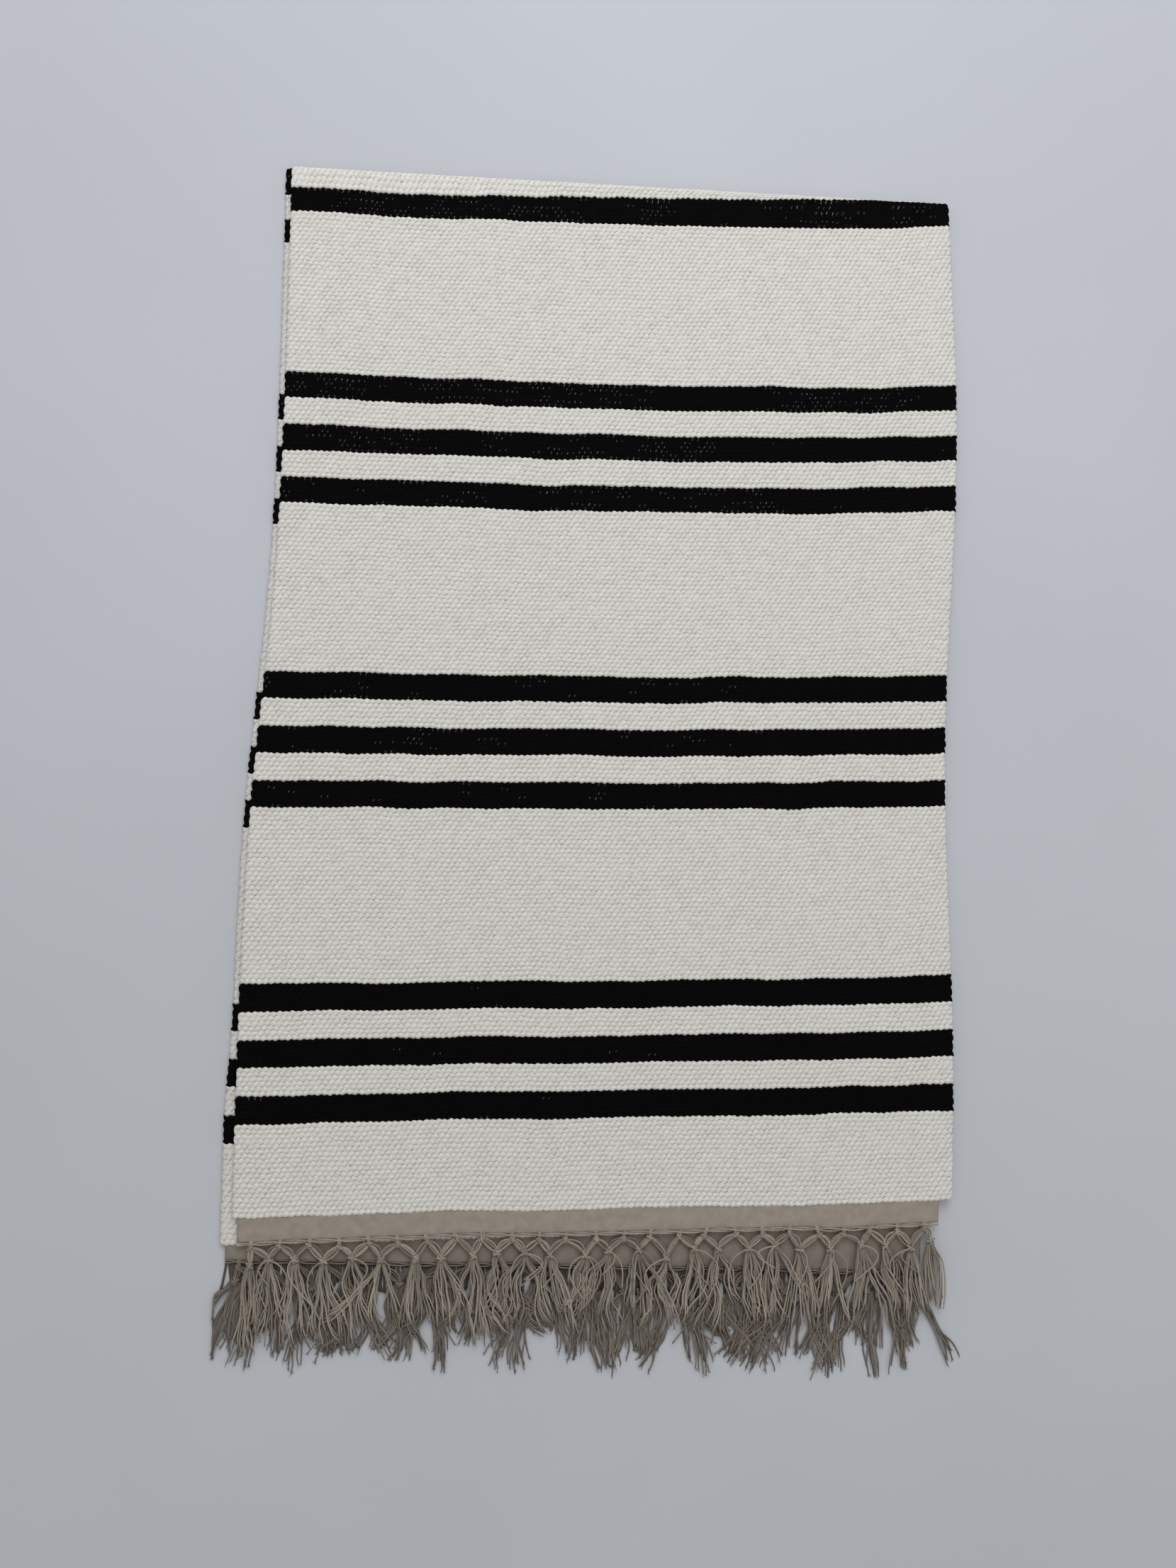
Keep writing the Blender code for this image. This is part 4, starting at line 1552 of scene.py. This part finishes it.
@dataclass
class LeafMaker:
    """Builds one leaf of the rug, hides the CAD nodes that its pieces stand for, and hangs most pieces on the
    leaf's body.
    """

    lay: Lay
    weave: Weave
    finishes: dict[Yarn, bpy.types.Material]
    knots: int = 25
    upper_knot_height: float = 0.0078
    lower_knot_height: float = 0.0026
    upper_tip_height: float = 0.0020
    lower_tip_height: float = 0.0010
    flattened: float = 0.35

    @property
    def word(self) -> str:
        """The leaf's word in names."""
        return self.lay.leaf.value

    @property
    def body(self) -> str:
        """The CAD body that the leaf's pieces ride on."""
        return f"{self.word}_leaf"

    def band_names(self) -> list[str]:
        """The bands from the fold to the header, as their CAD nodes are named.

        Returns:
            Their names, without the leaf's word.
        """
        names = ["middle_stripe"] if self.lay.leaf is Leaf.LOWER else []
        names += ["gap_4a", "stripe_4a"]
        for group in GROUPS_FROM_FOLD:
            names += [f"field_{group}"] + [f"{kind}_{group}{mark}" for kind, mark in GROUP_ORDER]
        return names + ["ivory_end"]

    def edges(self) -> list[float]:
        """The runs at which one band ends and the next starts: half way between the CAD nodes.

        Returns:
            The hinge line's run, each edge's in turn, and the header's end.
        """
        boxes = [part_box(f"{self.word}_{name}") for name in self.band_names() + ["header"]]
        runs = [0.0]
        for before, after in zip(boxes, boxes[1:]):
            runs.append(self.lay.hinge_y - 0.5 * (before[0].y + after[1].y))
        return runs + [self.lay.hinge_y - boxes[-1][0].y]

    def settle(self, piece: bpy.types.Object, yarn: Yarn, *nodes: str) -> None:
        """Hides the CAD nodes that a piece stands for."""
        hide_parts(*nodes)

    def bend(self, piece: bpy.types.Object) -> None:
        """Applies the piece's transform to its mesh and leaves it on no body.

        Args:
            piece: a band near the fold.
        """
        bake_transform(piece)

    def bands(self) -> None:
        """Weaves every band. The first goes round the bend, and the upper leaf's second reaches into it."""
        runs = self.edges()
        upper = self.lay.leaf is Leaf.UPPER
        first_pick = 0
        for index, name in enumerate(self.band_names()):
            yarn = Yarn.BLACK if "stripe" in name else Yarn.IVORY
            length = runs[index + 1] - runs[index]
            band = Band(self.lay, self.weave, name, yarn, runs[index], length, first_pick, bends=index == 0)
            first_pick += band.picks
            piece = band.build(self.finishes[yarn])
            nodes = [f"{self.word}_{name}"]
            if band.bends:
                nodes.append("fold_bend_ivory" if upper else "fold_bend_black")
            self.settle(piece, yarn, *nodes)
            if band.bends or (upper and name == "stripe_4a"):
                self.bend(piece)
            else:
                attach(piece, self.body)

    def fringe(self, header: Header) -> Fringe:
        """Sets out the leaf's fringe. The lower one lies in the other's shadow, so its strands are painted
        darker as painted shadow, and it is more ragged.

        Args:
            header: the header that it hangs from.

        Returns:
            The fringe, not yet built.
        """
        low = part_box(f"{self.word}_fringe")[0].z
        if self.lay.leaf is Leaf.UPPER:
            return Fringe(header, self.knots, 1, self.upper_knot_height, low + self.upper_tip_height)
        return Fringe(
            header,
            self.knots,
            2,
            self.lower_knot_height,
            low + self.lower_tip_height,
            # Painted shadow: the lower fringe's strands are drawn at under half their tone.
            paleness=0.45,
            short_warp_ends=True,
            shortest=0.55,
            root_width=0.0110,
            loose_loops=20,
            strands_per_tassel=26,
        )

    def build(self) -> None:
        """Builds the bands, the warp inside them, the header and the fringe, and hangs the pieces on the
        leaf's body, all but those near the fold.
        """
        self.bands()
        runs = self.edges()
        header = Header(self.lay, runs[-2], runs[-1] - runs[-2])
        sheet = WarpSheet(self.lay, runs[-1])
        cloth = header.build(self.finishes[Yarn.TAUPE])
        warp = sheet.build(self.finishes[Yarn.WARP])
        fringe = self.fringe(header)
        twined = fringe.twined_edge(self.finishes[Yarn.FRINGE])
        net = fringe.net(self.finishes[Yarn.FRINGE])
        tassels = fringe.tassels(self.finishes[Yarn.FRINGE])
        self.settle(cloth, Yarn.TAUPE, f"{self.word}_header")
        self.settle(warp, Yarn.WARP, f"{self.word}_warp_sheet")
        self.settle(twined, Yarn.FRINGE, f"{self.word}_twined_edge")
        self.settle(net, Yarn.FRINGE, f"{self.word}_fringe")
        self.settle(tassels, Yarn.FRINGE, f"{self.word}_fringe")
        for piece in (cloth, warp, twined, net, tassels):
            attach(piece, self.body)
        if self.lay.leaf is Leaf.UPPER:
            for piece in (net, tassels):
                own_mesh(piece)


@dataclass(frozen=True)
class Studio:
    """The pale floor, the soft lights and the camera. Its sizes are in metres, degrees and watts."""

    place: tuple[float, float, float] = (-0.1032, -0.0953, 1.0174)
    tilt: tuple[float, float, float] = (4.06, -4.78, 0.50)
    lens: float = 27.03
    floor_half_side: float = 30.0
    floor_deep: tuple[float, float, float, float] = (0.552, 0.565, 0.586, 1.0)
    floor_pale: tuple[float, float, float, float] = (0.574, 0.588, 0.610, 1.0)
    sky_colour: tuple[float, float, float, float] = (0.97, 0.98, 1.0, 1.0)
    sky_strength: float = 0.50

    def camera(self) -> None:
        """Hangs the camera nearly straight above the rug."""
        data = bpy.data.cameras.new("camera")
        data.lens = self.lens
        data.sensor_width = 36.0
        made = bpy.data.objects.new("camera", data)
        made.location = self.place
        made.rotation_euler = [math.radians(angle) for angle in self.tilt]
        bpy.context.scene.collection.objects.link(made)
        bpy.context.scene.camera = made

    def floor(self) -> None:
        """A wide flat floor, a little uneven in tone."""
        mesh = bpy.data.meshes.new("floor")
        side = self.floor_half_side
        outline = [(-side, -side, 0), (side, -side, 0), (side, side, 0), (-side, side, 0)]
        mesh.from_pydata(outline, [], [(0, 1, 2, 3)])
        material = bpy.data.materials.new("floor paint")
        material.use_nodes = True
        graph = Graph(material.node_tree)
        shader = material.node_tree.nodes["Principled BSDF"]
        place = graph.node("ShaderNodeTexCoord").outputs["Object"]
        tone = graph.ease(graph.noise(place, 2.5, 3.0), 0.3, 0.7)
        graph.feed(shader.inputs["Base Color"], graph.mix(tone, self.floor_deep, self.floor_pale))
        shader.inputs["Roughness"].default_value = 0.75
        shader.inputs["Specular IOR Level"].default_value = 0.2
        mesh.materials.append(material)
        made = bpy.data.objects.new("floor", mesh)
        bpy.context.scene.collection.objects.link(made)

    def light(
        self,
        name: str,
        place: tuple[float, float, float],
        size: float,
        watts: float,
        tint: tuple[float, float, float],
    ) -> None:
        """Hangs a square soft light that faces the rug's middle.

        Its tilt is the angle whose tangent is its distance sideways over its height, and its turn the angle
        of its place about the upright.

        Args:
            name: the light's name.
            place: where it hangs.
            size: its side in metres.
            watts: its power.
            tint: its colour.
        """
        data = bpy.data.lights.new(name, "AREA")
        data.shape, data.size, data.energy, data.color = "SQUARE", size, watts, tint
        made = bpy.data.objects.new(name, data)
        made.location = place
        x, y, z = place
        made.rotation_euler = (math.atan2(math.hypot(x, y), z), 0.0, math.atan2(x, -y))
        bpy.context.scene.collection.objects.link(made)

    def build(self) -> None:
        """Sets the camera, the floor, the sky and the lights."""
        self.camera()
        self.floor()
        scene = bpy.context.scene
        scene.view_settings.view_transform = "Standard"
        world = bpy.data.worlds.new("sky")
        world.use_nodes = True
        sky = world.node_tree.nodes["Background"]
        sky.inputs["Color"].default_value = self.sky_colour
        sky.inputs["Strength"].default_value = self.sky_strength
        scene.world = world
        self.light("window light", (0.02, 1.5, 1.6), 1.3, 21.5, (0.90, 0.925, 1.0))
        self.light("fill light", (0.9, 0.2, 1.9), 1.4, 4.0, (1.0, 0.99, 0.97))


def corners(box: tuple) -> list[list[float]]:
    """A box's two corners as plain lists."""
    return [[float(value) for value in corner] for corner in box]


def main() -> None:
    """Builds the studio, the finishes and both leaves in turn."""
    logging.basicConfig(level=logging.INFO, format="%(name)s %(message)s")
    Studio().build()
    finishes = Wardrobe().build()
    joint = frame["joints"][0]
    hinge_y, hinge_z = joint["pos_m"][1], joint["pos_m"][2]
    weave = Weave()
    for leaf in Leaf:
        low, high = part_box(f"{leaf.value}_field_2")
        header_run = hinge_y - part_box(f"{leaf.value}_header")[1].y
        lay = Lay(leaf, hinge_y, hinge_z, 0.5 * (low.z + high.z), header_run)
        LeafMaker(lay, weave, finishes).build()
        LOG.info("the %s leaf is done", leaf.value)


if __name__ == "__main__":
    main()
